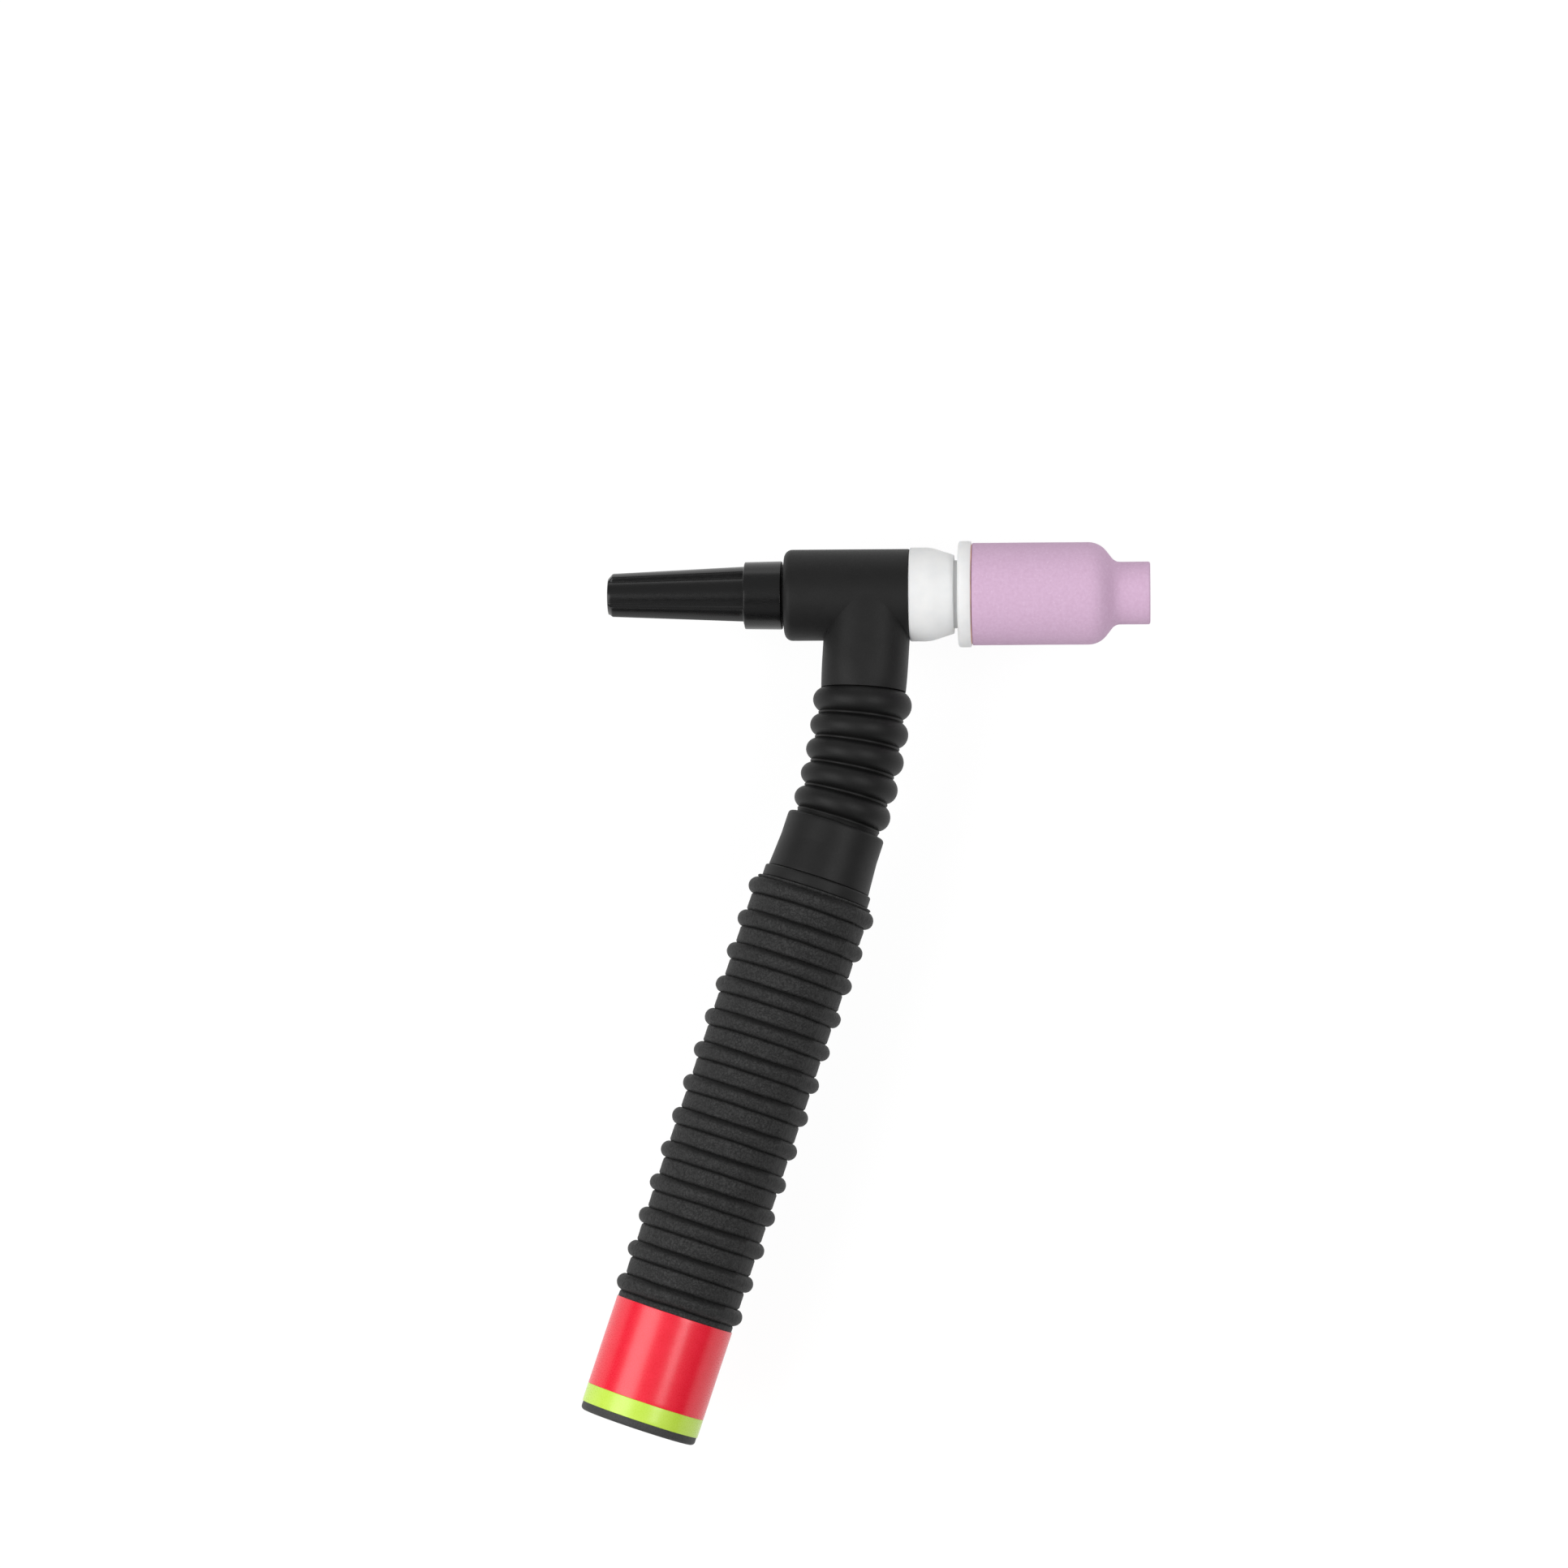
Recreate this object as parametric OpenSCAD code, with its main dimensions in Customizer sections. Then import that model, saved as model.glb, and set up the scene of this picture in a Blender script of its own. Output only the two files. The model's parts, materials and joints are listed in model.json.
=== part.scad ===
// Air-cooled TIG welding torch with a flexible neck and a gas-lens front end, lying on its side.
// The head runs along X with the nozzle towards +X, the handle runs towards -Y, and +Z is up.
// Lengths are in millimetres and angles in degrees.

/* [Head] */
// Diameter of the rubber head barrel
head_d = 21.6; // [20.6:0.1:26]
// Length of the barrel behind the neck axis
head_rear = 20.1; // [18:0.1:30]
// Length of the barrel in front of the neck axis
head_front = 9.6; // [9:0.1:16]
// Rounding of the barrel's rear edge
head_edge_r = 1.9; // [0.5:0.1:2.5]
// Diameter of the rubber neck stub below the barrel
stub_d = 20.2; // [17:0.1:20.5]
// Length of the neck stub, from the head axis
stub_len = 21.8; // [19:0.1:30]
// Lean of the neck stub away from square to the head
stub_lean = 3.5; // [0:0.5:8]

/* [Head core] */
// Outer diameter of the brass core in the barrel
core_d = 15; // [14.4:0.1:16]
// Depth of the core's rear face under the barrel's rear face
core_inset = 0.4; // [0.2:0.1:1]
// Bore of the core around the collet
core_bore_d = 6.6; // [5.5:0.1:8]
// Outer diameter of the core's branch into the neck
branch_d = 12; // [10.5:0.1:13]
// Length of the branch, from the head axis
branch_len = 17; // [14:0.1:18.5]
// Depth of the socket in the branch that takes the neck tube
branch_socket = 8; // [5:0.1:9]
// Diameter of the gas and current passage from the neck
passage_d = 5; // [3:0.1:5.4]

/* [Back cap] */
// Gap between the barrel and the cap's collar
cap_gap = 0.5; // [0.3:0.1:1.5]
// Length of the cap's collar
cap_collar_len = 8.9; // [7:0.1:12]
// Diameter of the cap's collar
cap_collar_d = 16.2; // [15.8:0.1:20]
// Length of the tapered grip of the cap
cap_grip_len = 32.5; // [25:0.1:60]
// Diameter of the cap's grip beside the collar
cap_root_d = 13.8; // [13:0.1:15]
// Diameter of the cap's grip at its tip
cap_tip_d = 10.8; // [9.8:0.1:12.5]
// Rounding of the cap's tip
cap_tip_r = 1.2; // [0.5:0.1:2]
// Wall at the closed tip of the cap
cap_end_wall = 4; // [2:0.1:8]
// Number of finger ribs along the cap
cap_ribs = 3; // [3:1:6]
// Width of a finger rib, as an angle round the cap
cap_rib_angle = 32; // [20:1:45]
// Height of the finger ribs
cap_rib_height = 1.2; // [0.6:0.1:1.5]
// Turn of the first finger rib from straight down
cap_rib_turn = -6; // [-60:1:60]
// Diameter of the cap's brass thread
stud_d = 11; // [10:0.1:12]
// Length of the thread in front of the cap's face
stud_len = 8.3; // [6:0.1:9]
// Diameter of the stud's root, moulded into the cap
stud_root_d = 9; // [7:0.1:10]
// Length of the stud's root
stud_root_len = 7.4; // [5:0.1:8]
// Thickness of the cap's sealing ring
o_ring_d = 1.7; // [1.2:0.1:1.8]

/* [Front insulators] */
// Length of the front insulator
insulator_len = 10.5; // [9:0.1:16]
// Diameter of the front insulator at the barrel
insulator_d = 22.2; // [19:0.1:26]
// Diameter of the front insulator at its front face
insulator_nose_d = 18.6; // [17.6:0.1:18.8]
// Length of the front insulator's straight part
insulator_straight = 5.2; // [2:0.1:7]
// Length of the gas-lens insulator's boss inside the front insulator
boss_len = 6.4; // [4:0.1:7]
// Diameter of the gas-lens insulator's boss
boss_d = 16.1; // [13:0.1:16.6]
// Length of the boss that shows between the two insulators
boss_gap = 1; // [0.5:0.1:2]
// Diameter of the gas-lens insulator's flange
flange_d = 25.1; // [22:0.1:30]
// Thickness of the flange
flange_len = 3.1; // [2:0.1:5]
// Rounding of the flange's edges
flange_edge_r = 0.7; // [0.2:0.1:0.9]

/* [Gas lens] */
// Diameter of the gas lens's threaded shank
shank_d = 9.5; // [8:0.1:10]
// Length of the shank's thread in the core
shank_thread_len = 6.5; // [5:0.1:6.8]
// Diameter of the thread that carries the nozzle
lens_thread_d = 17.8; // [16:0.1:18.6]
// Length of that thread
lens_thread_len = 7; // [5:0.1:9]
// Diameter of the gas lens's barrel
lens_barrel_d = 16.4; // [15:0.1:17]
// Length of the barrel in front of the thread
lens_barrel_len = 14.5; // [10:0.1:17]
// Wall of the barrel
lens_wall = 1.2; // [0.8:0.1:1.6]
// Distance from the thread's end to the floor of the gas chamber
lens_floor = 1; // [0.5:0.1:2]
// Outer diameter of the nose tube that carries the screens
nose_d = 6.4; // [5.6:0.1:7]
// Number of gas ports in the nose tube
port_count = 6; // [4:1:8]
// Diameter of the gas ports
port_d = 1.4; // [0.8:0.1:1.6]
// Number of mesh screens
screen_count = 3; // [2:1:4]
// Thickness of one screen
screen_t = 0.4; // [0.2:0.1:0.6]
// Distance from screen to screen
screen_pitch = 1.4; // [1.2:0.1:2]
// Section of the ring that holds the screens
snap_ring_t = 0.8; // [0.5:0.1:1.2]

/* [Collet and electrode] */
// Diameter of the tungsten electrode
electrode_d = 2.4; // [1.6:0.1:2.6]
// Length of the electrode's ground point
electrode_point = 5; // [2:0.1:8]
// Flat at the end of the ground point
electrode_flat = 0.4; // [0.2:0.1:0.8]
// Distance of the electrode's point inside the nozzle's mouth
electrode_recess = 15; // [10:0.1:18]
// Free space behind the electrode in the cap
electrode_room = 7; // [5:0.1:12]
// Wall of the collet
collet_wall = 0.75; // [0.5:0.05:0.8]
// Width of the collet's slots
collet_slot = 0.4; // [0.3:0.05:0.6]
// Length of the collet's slots
collet_slot_len = 20; // [12:0.5:30]

/* [Nozzle] */
// Length of the ceramic nozzle
nozzle_len = 42; // [38:0.1:55]
// Diameter of the nozzle's wide part
nozzle_d = 24.2; // [23:0.1:30]
// Length of the nozzle's wide part
nozzle_wide_len = 28.2; // [25:0.1:30]
// Diameter of the nozzle's tip
nozzle_tip_d = 14.8; // [13:0.1:18]
// Bore of the nozzle's mouth
nozzle_bore_d = 11.2; // [8:0.1:12]
// Slope of the shoulder between the wide part and the tip
shoulder_slope = 50; // [35:1:60]
// Rounding at the outer end of the shoulder
shoulder_outer_r = 3.6; // [1:0.1:4]
// Rounding at the inner end of the shoulder
shoulder_inner_r = 2.5; // [1:0.1:3]
// Distance of the inner cone's start behind the shoulder
nozzle_cone_lead = 1.2; // [0:0.1:2]
// Rounding of the nozzle's end edges
nozzle_edge_r = 0.5; // [0.2:0.1:0.8]
// Gap between the nozzle and the flange
nozzle_gap = 0.2; // [0.1:0.05:0.5]

/* [Neck] */
// Length of the ribbed bellows along its axis
neck_len = 33.6; // [25:0.1:60]
// Angle that the neck turns through as it lies
neck_turn = 14.8; // [6:0.1:30]
// Number of ribs on the bellows
neck_ribs = 5; // [3:1:9]
// Diameter over the bellows' ribs
neck_crest_d = 23.4; // [21:0.1:26]
// Diameter of the grooves between the ribs
neck_groove_d = 19.9; // [18:0.1:20.5]
// Width of the groove's flat floor
neck_groove_floor = 0.5; // [0.2:0.1:1]
// Plain length at each end of the bellows
neck_end_len = 1.1; // [0.5:0.1:3]
// Bore of the bellows
neck_bore_d = 14; // [12.5:0.1:16]
// Outer diameter of the flexible copper tube
tube_d = 8; // [6:0.1:8.6]
// Bore of the copper tube
tube_bore_d = 5.2; // [3:0.1:5.4]

/* [Cuff] */
// Length of the cuff that shows between bellows and collar
cuff_len = 13.9; // [11:0.1:20]
// Diameter of the cuff at the bellows
cuff_top_d = 23.6; // [21:0.1:25]
// Diameter of the cuff at the collar
cuff_d = 24.7; // [23:0.1:25.8]
// Length of the cuff's conical part
cuff_cone_len = 8; // [3:0.1:10]
// Rounding of the cuff's upper edge
cuff_edge_r = 0.8; // [0.3:0.1:1.2]
// Length of the cuff's spigot inside the handle
spigot_len = 20; // [12:0.1:26]

/* [Cable connector] */
// Diameter of the connector's body in the cuff
connector_d = 12.4; // [10.5:0.1:14]
// Distance of the connector's end from the cuff's upper edge
connector_inset = 10; // [6:0.1:12]
// Depth of the connector's socket for the neck tube
connector_socket = 10; // [6:0.1:12]
// Width across the flats of the connector's hexagon
hex_width = 14; // [12.5:0.1:17]
// Length of the hexagon
hex_len = 7; // [4:0.1:10]
// Diameter of the connector's outer thread
cable_thread_d = 9.52; // [8:0.01:12]
// Length of the connector's outer thread
cable_thread_len = 14; // [8:0.1:20]

/* [Handle] */
// Length of the ribbed grip
grip_len = 132; // [110:0.1:160]
// Diameter of the grip between its ribs
grip_d = 27.9; // [27:0.1:32]
// Diameter over the grip's ribs
grip_rib_d = 30.8; // [29:0.1:36]
// Width of a rib at its foot
grip_rib_w = 3.9; // [3:0.1:5]
// Number of ribs on the grip
grip_ribs = 13; // [8:1:16]
// Distance from the grip's upper end to the first rib
first_rib = 2.7; // [2.3:0.1:6]
// Distance from the last rib to the label
last_rib = 3.5; // [2.5:0.1:8]
// Rounding of the grip's end edges
grip_edge_r = 0.8; // [0.3:0.1:1.5]
// Diameter of the smooth collar above the grip
collar_d = 26; // [25:0.1:27]
// Length of the smooth collar
collar_len = 2.9; // [2:0.1:5]
// Rounding of the collar's edges
collar_edge_r = 0.5; // [0.2:0.1:0.9]
// Outer diameter of the inner sleeve
sleeve_d = 24; // [23:0.1:25]
// Bore of the inner sleeve
sleeve_bore_d = 20.5; // [19.8:0.1:21]
// Bore of the cable outlet at the tail
outlet_d = 18; // [14:0.1:19]
// Length of the cable outlet
outlet_len = 12; // [6:0.1:20]

/* [Label] */
// Length of the red label
label_len = 21.4; // [15:0.1:30]
// Length of the lime stripe
stripe_len = 4.4; // [2:0.1:8]
// Length of bare grip behind the stripe
tail_len = 2; // [1.6:0.1:5]
// Diameter over the label
label_d = 28.3; // [27:0.1:30]
// Thickness of the label
label_t = 0.5; // [0.3:0.05:0.6]

/* [Clearances] */
// Radial clearance of pieces that are pressed or moulded together
fit_gap = 0.05; // [0.02:0.01:0.1]
// Radial clearance of screwed and sliding pieces
run_gap = 0.06; // [0.02:0.01:0.1]
// Clearance between end faces that meet
face_gap = 0.1; // [0.05:0.01:0.2]
// Free depth past the end of a thread
thread_runout = 2; // [1:0.1:3]

/* [Hidden] */
$fn = 96;
// Straight steps in a rounded edge, and along one rib of the bellows
edge_steps = 6;
rib_steps = 8;
// Sides of the neck's bellows and tube, and steps along its arc
neck_sides = 32;
bore_rings = 10;
// Extra length of a cutting body past a face
cut = 1;

// Places along the head axis, counted from the neck axis
cap_face = -head_rear - cap_gap;
cap_step = cap_face - cap_collar_len;
cap_end = cap_step - cap_grip_len;
core_rear = -head_rear + core_inset;
stud_front = cap_face + stud_len;
insulator_front = head_front + insulator_len;
flange_rear = insulator_front + boss_gap;
flange_front = flange_rear + flange_len;
boss_rear = insulator_front - boss_len;
nozzle_rear = flange_front + nozzle_gap;
nozzle_mouth = nozzle_rear + nozzle_len;
shank_rear = head_front - shank_thread_len;
lens_thread_front = flange_front + lens_thread_len;
lens_front = lens_thread_front + lens_barrel_len;
electrode_tip = nozzle_mouth - electrode_recess;
electrode_rear = cap_end + cap_end_wall + electrode_room;

// Inside of the cap, the collet and the gas lens
electrode_hole_r = electrode_d / 2 + run_gap;
collet_r = electrode_hole_r + collet_wall;
collet_hole_r = collet_r + fit_gap;
collet_rear = stud_front + face_gap;
cap_hole_r = electrode_hole_r + collet_wall;
o_ring_r = stud_d / 2 + run_gap + o_ring_d / 2;
o_ring_place = core_rear - face_gap - o_ring_d / 2;
lens_chamber_r = lens_barrel_d / 2 - lens_wall;
lens_chamber_rear = lens_thread_front + lens_floor;
snap_ring_rear = lens_front - snap_ring_t;
screen_rear = snap_ring_rear - face_gap - screen_t - (screen_count - 1) * screen_pitch;
collet_seat = screen_rear - face_gap - collet_r;
seat_slope = 45;

// Path of the neck: straight through the stub, then an arc, then straight into the handle.
// The distance s along it is counted from the end of the stub.
handle_lean = stub_lean + neck_turn;
neck_radius = neck_len / (neck_turn * PI / 180);
function along(lean) = [-sin(lean), -cos(lean), 0];
function across(lean) = [-cos(lean), sin(lean), 0];
stub_end = stub_len * along(stub_lean);
neck_centre = stub_end + neck_radius * across(stub_lean);
function on_arc(s) = max(0, min(neck_len, s));
function lean_at(s) = stub_lean + neck_turn * on_arc(s) / neck_len;
function neck_point(s) =
  neck_centre - neck_radius * across(lean_at(s)) + (s - on_arc(s)) * along(lean_at(s));
handle_top = neck_point(neck_len);

// Places along the handle's axis, counted from the cuff's upper edge
collar_front = cuff_len;
grip_front = collar_front + collar_len;
grip_end = grip_front + grip_len;
stripe_end = grip_end - tail_len;
label_end = stripe_end - stripe_len;
label_front = label_end - label_len;
spigot_end = cuff_len + spigot_len;
hex_end = spigot_end + face_gap + hex_len;
cable_thread_end = hex_end + cable_thread_len;
tube_end = connector_inset + connector_socket - face_gap;

// The grip's ribs are parts of circles
rib_pitch = (label_front - last_rib - grip_front - first_rib) / (grip_ribs - 1);
rib_height = (grip_rib_d - grip_d) / 2;
rib_arc_r = (rib_height ^ 2 + (grip_rib_w / 2) ^ 2) / (2 * rib_height);
label_seat_r = label_d / 2 - label_t;

// The bellows' ribs are parts of circles too
bellows_pitch = (neck_len - 2 * neck_end_len) / neck_ribs;
bellows_height = (neck_crest_d - neck_groove_d) / 2;
bellows_half = (bellows_pitch - neck_groove_floor) / 2;
bellows_arc_r = (bellows_height ^ 2 + bellows_half ^ 2) / (2 * bellows_height);

// The origin is under the middle of the part, on the surface that the ribs lie on
tail_x = handle_top.x + (grip_end - grip_edge_r) * along(handle_lean).x;
tail_y = handle_top.y + (grip_end - grip_edge_r) * along(handle_lean).y;
tail_flat_r = grip_d / 2 - grip_edge_r;
low_x = min(cap_end, tail_x - tail_flat_r * cos(handle_lean) - grip_edge_r);
low_y = tail_y - tail_flat_r * sin(handle_lean) - grip_edge_r;
high_y = max(flange_d, nozzle_d, insulator_d, head_d) / 2;
middle = [(low_x + nozzle_mouth) / 2, (low_y + high_y) / 2, -grip_rib_d / 2];

// Puts a body drawn along Z on the head axis, with Z towards the nozzle
module on_head() {
  translate(-middle)
    rotate([0, 90, 0])
      children();
}

// Puts a body drawn along Z on the stub's axis, from the head axis down
module on_stub() {
  translate(-middle)
    rotate([90, 0, -stub_lean])
      children();
}

// Puts a body drawn along Z on the handle's axis, from the cuff's upper edge down
module on_handle() {
  translate(handle_top - middle)
    rotate([90, 0, -handle_lean])
      children();
}

// Points of a rounded edge in a turned outline
function edge(r, z, edge_r, from, to) =
  [for (i = [0:edge_steps])
    let (a = from + (to - from) * i / edge_steps)
      [r + edge_r * cos(a), z + edge_r * sin(a)]];

// A cylinder along Z between two places
module rod(r, from, to) {
  translate([0, 0, from])
    cylinder(r = r, h = to - from);
}

// A ring along Z between two places
module ring(outer_r, inner_r, from, to) {
  difference() {
    rod(outer_r, from, to);
    rod(inner_r, from - cut, to + cut);
  }
}

module back_cap_outline() {
  collar_r = cap_collar_d / 2;
  tip_r = cap_tip_d / 2;
  polygon(concat(
    [[0, cap_end]],
    edge(tip_r - cap_tip_r, cap_end + cap_tip_r, cap_tip_r, -90, 0),
    [[cap_root_d / 2, cap_step]],
    edge(collar_r - collar_edge_r, cap_step + collar_edge_r, collar_edge_r, -90, 0),
    edge(collar_r - collar_edge_r, cap_face - collar_edge_r, collar_edge_r, 0, 90),
    [[0, cap_face]]));
}

// What is cut away between two finger ribs
module cap_hollow() {
  tip_r = cap_tip_d / 2 - cap_rib_height;
  rotate_extrude(angle = 360 / cap_ribs - cap_rib_angle)
    polygon(concat(
      [[cap_collar_d, cap_end - cut], [tip_r - cap_tip_r, cap_end - cut]],
      edge(tip_r - cap_tip_r, cap_end + cap_tip_r, cap_tip_r, -90, 0),
      [[cap_root_d / 2 - cap_rib_height, cap_step], [cap_collar_d, cap_step]]));
}

module back_cap() {
  groove_r = o_ring_r + o_ring_d / 2 + run_gap;
  color("#1d1d1f") on_head() difference() {
    rotate_extrude() back_cap_outline();
    for (i = [0:cap_ribs - 1])
      rotate([0, 0, cap_rib_turn + cap_rib_angle / 2 + i * 360 / cap_ribs])
        cap_hollow();
    rod(cap_hole_r, cap_end + cap_end_wall, cap_face + cut);
    rod(stud_root_d / 2 + fit_gap, cap_face - stud_root_len - face_gap, cap_face + cut);
    rod(groove_r, o_ring_place - o_ring_d / 2 - face_gap, cap_face + cut);
  }
}

module back_cap_stud() {
  groove_floor = o_ring_place - o_ring_d / 2 - face_gap;
  color("#c9a557") on_head() difference() {
    union() {
      rod(stud_root_d / 2, cap_face - stud_root_len, stud_front);
      rod(stud_d / 2, groove_floor, stud_front);
    }
    rod(cap_hole_r, cap_face - stud_root_len - cut, stud_front + cut);
  }
}

module back_cap_o_ring() {
  color("#2a2a2a") on_head() translate([0, 0, o_ring_place])
    rotate_extrude()
      translate([o_ring_r, 0])
        circle(d = o_ring_d);
}

module head_jacket() {
  head_r = head_d / 2;
  color("#2f2f31") difference() {
    union() {
      on_head() rotate_extrude() polygon(concat(
        [[0, -head_rear]],
        edge(head_r - head_edge_r, head_edge_r - head_rear, head_edge_r, -90, 0),
        [[head_r, head_front], [0, head_front]]));
      on_stub() cylinder(d = stub_d, h = stub_len);
    }
    on_head() rod(core_d / 2 + fit_gap, -head_rear - cut, head_front + cut);
    on_head() rod(head_d, head_front, head_front + stub_d);
    on_stub() rod(branch_d / 2 + fit_gap, 0, stub_len + cut);
  }
}

module head_core() {
  color("#c9a557") difference() {
    union() {
      on_head() rod(core_d / 2, core_rear, head_front);
      on_stub() rod(branch_d / 2, 0, branch_len);
    }
    on_head() rod(stud_d / 2 + run_gap, core_rear - cut, stud_front + thread_runout);
    on_head() rod(core_bore_d / 2, core_rear, head_front);
    on_head() rod(shank_d / 2 + fit_gap, shank_rear - face_gap, head_front + cut);
    on_stub() rod(passage_d / 2, 0, branch_len);
    on_stub() rod(tube_d / 2 + fit_gap, branch_len - branch_socket, branch_len + cut);
  }
}

module front_insulator() {
  hole_r = shank_d / 2 + fit_gap;
  seat_r = boss_d / 2 + fit_gap;
  seat = boss_rear - face_gap;
  color("#f2f1ee") on_head() rotate_extrude() polygon([
    [hole_r, head_front],
    [insulator_d / 2, head_front],
    [insulator_d / 2, head_front + insulator_straight],
    [insulator_nose_d / 2, insulator_front],
    [seat_r, insulator_front],
    [seat_r, seat],
    [hole_r, seat]]);
}

module gas_lens_insulator() {
  hole_r = shank_d / 2 + fit_gap;
  rim_r = flange_d / 2 - flange_edge_r;
  color("#f2f1ee") on_head() rotate_extrude() polygon(concat(
    [[hole_r, boss_rear], [boss_d / 2, boss_rear], [boss_d / 2, flange_rear]],
    edge(rim_r, flange_rear + flange_edge_r, flange_edge_r, -90, 0),
    edge(rim_r, flange_front - flange_edge_r, flange_edge_r, 0, 90),
    [[hole_r, flange_front]]));
}

module gas_lens_body() {
  barrel_r = lens_barrel_d / 2;
  seat_depth = (collet_hole_r - electrode_hole_r) / tan(seat_slope);
  color("#c9915a") on_head() difference() {
    rotate_extrude() polygon([
      [collet_hole_r, shank_rear],
      [shank_d / 2, shank_rear],
      [shank_d / 2, flange_front],
      [lens_thread_d / 2, flange_front],
      [lens_thread_d / 2, lens_thread_front],
      [barrel_r, lens_thread_front],
      [barrel_r, lens_front],
      [lens_chamber_r, lens_front],
      [lens_chamber_r, lens_chamber_rear],
      [nose_d / 2, lens_chamber_rear],
      [nose_d / 2, lens_front],
      [electrode_hole_r, lens_front],
      [electrode_hole_r, collet_seat + seat_depth],
      [collet_hole_r, collet_seat]]);
    for (i = [0:port_count - 1])
      translate([0, 0, lens_chamber_rear + port_d])
        rotate([90, 0, i * 360 / port_count])
          rod(port_d / 2, 0, (lens_chamber_r + nose_d / 2) / 2);
  }
}

module gas_lens_screens() {
  color("#b9b4a8") on_head() for (i = [0:screen_count - 1])
    translate([0, 0, screen_rear + i * screen_pitch])
      ring(lens_chamber_r - fit_gap, nose_d / 2 + fit_gap, 0, screen_t);
}

module gas_lens_snap_ring() {
  outer_r = lens_chamber_r - fit_gap;
  color("#b9b4a8") on_head() ring(outer_r, outer_r - snap_ring_t, snap_ring_rear, lens_front);
}

module collet() {
  color("#c07a4a") on_head() difference() {
    rotate_extrude() polygon([
      [electrode_hole_r, collet_rear],
      [collet_r, collet_rear],
      [collet_r, collet_seat - face_gap],
      [electrode_hole_r, collet_seat - face_gap + collet_wall / tan(seat_slope)]]);
    for (turn = [0, 90])
      rotate([0, 0, turn])
        translate([-collet_r - cut, -collet_slot / 2, collet_seat - collet_slot_len])
          cube([2 * (collet_r + cut), collet_slot, collet_slot_len + cut]);
  }
}

module tungsten_electrode() {
  color("#8d9096") on_head() rotate_extrude() polygon([
    [0, electrode_rear],
    [electrode_d / 2, electrode_rear],
    [electrode_d / 2, electrode_tip - electrode_point],
    [electrode_flat / 2, electrode_tip],
    [0, electrode_tip]]);
}

module ceramic_nozzle() {
  wide_r = nozzle_d / 2;
  tip_r = nozzle_tip_d / 2;
  hole_r = lens_thread_d / 2 + run_gap;
  bore_r = nozzle_bore_d / 2;
  outer_start = nozzle_rear + nozzle_wide_len;
  fall = wide_r - tip_r - (shoulder_outer_r + shoulder_inner_r) * (1 - cos(shoulder_slope));
  slope_len = fall / tan(shoulder_slope);
  inner_end = outer_start + slope_len + (shoulder_outer_r + shoulder_inner_r) * sin(shoulder_slope);
  cone_start = outer_start - nozzle_cone_lead;
  cone_end = cone_start + (hole_r - bore_r) / tan(shoulder_slope);
  color("#dcbcd8") on_head() rotate_extrude() polygon(concat(
    [[hole_r, nozzle_rear]],
    edge(wide_r - nozzle_edge_r, nozzle_rear + nozzle_edge_r, nozzle_edge_r, -90, 0),
    edge(wide_r - shoulder_outer_r, outer_start, shoulder_outer_r, 0, shoulder_slope),
    edge(tip_r + shoulder_inner_r, inner_end, shoulder_inner_r, 180 + shoulder_slope, 180),
    edge(tip_r - nozzle_edge_r, nozzle_mouth - nozzle_edge_r, nozzle_edge_r, 0, 90),
    [[bore_r, nozzle_mouth], [bore_r, cone_end], [hole_r, cone_start]]));
}

// A ring of points round the neck's path
function neck_ring(s, r) =
  [for (i = [0:neck_sides - 1])
    let (a = 360 * i / neck_sides)
      neck_point(s) - middle + r * cos(a) * across(lean_at(s)) + [0, 0, r * sin(a)]];

// A hollow body through rings that run down the outside and back up the bore
module neck_sweep(rings) {
  function at(j, i) = (j % len(rings)) * neck_sides + i % neck_sides;
  points = [for (r = rings) each r];
  faces = [for (j = [0:len(rings) - 1], i = [0:neck_sides - 1])
    each [[at(j, i), at(j, i + 1), at(j + 1, i)],
          [at(j, i + 1), at(j + 1, i + 1), at(j + 1, i)]]];
  polyhedron(points, faces);
}

module neck_tube() {
  from = branch_len - branch_socket + face_gap - stub_len;
  to = neck_len + tube_end;
  places = concat([from], [for (i = [0:bore_rings]) neck_len * i / bore_rings], [to]);
  last = len(places) - 1;
  color("#c07a4a") neck_sweep(concat(
    [for (i = [0:last]) neck_ring(places[i], tube_d / 2)],
    [for (i = [last:-1:0]) neck_ring(places[i], tube_bore_d / 2)]));
}

// Radius of the bellows at a distance s along the neck
function bellows_r(s) =
  let (x = (s - neck_end_len) % bellows_pitch - bellows_pitch / 2)
  s <= neck_end_len || s >= neck_len - neck_end_len || abs(x) >= bellows_half
    ? neck_groove_d / 2
    : neck_crest_d / 2 - bellows_arc_r + sqrt(bellows_arc_r ^ 2 - x ^ 2);

module neck_bellows() {
  rib_places = [for (k = [0:neck_ribs - 1], i = [0:rib_steps])
    neck_end_len + (k + 0.5) * bellows_pitch - bellows_half * cos(180 * i / rib_steps)];
  color("#303032") neck_sweep(concat(
    [for (s = concat([0], rib_places, [neck_len])) neck_ring(s, bellows_r(s))],
    [for (i = [bore_rings:-1:0]) neck_ring(neck_len * i / bore_rings, neck_bore_d / 2)]));
}

module neck_cuff() {
  hole_r = connector_d / 2 + fit_gap;
  spigot_r = sleeve_bore_d / 2 - fit_gap;
  top_r = cuff_top_d / 2;
  color("#2f2f31") on_handle() rotate_extrude() polygon(concat(
    [[hole_r, 0]],
    edge(top_r - cuff_edge_r, cuff_edge_r, cuff_edge_r, -90, 0),
    [[top_r, cuff_len - cuff_cone_len],
     [cuff_d / 2, cuff_len],
     [spigot_r, cuff_len],
     [spigot_r, spigot_end],
     [hole_r, spigot_end]]));
}

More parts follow.
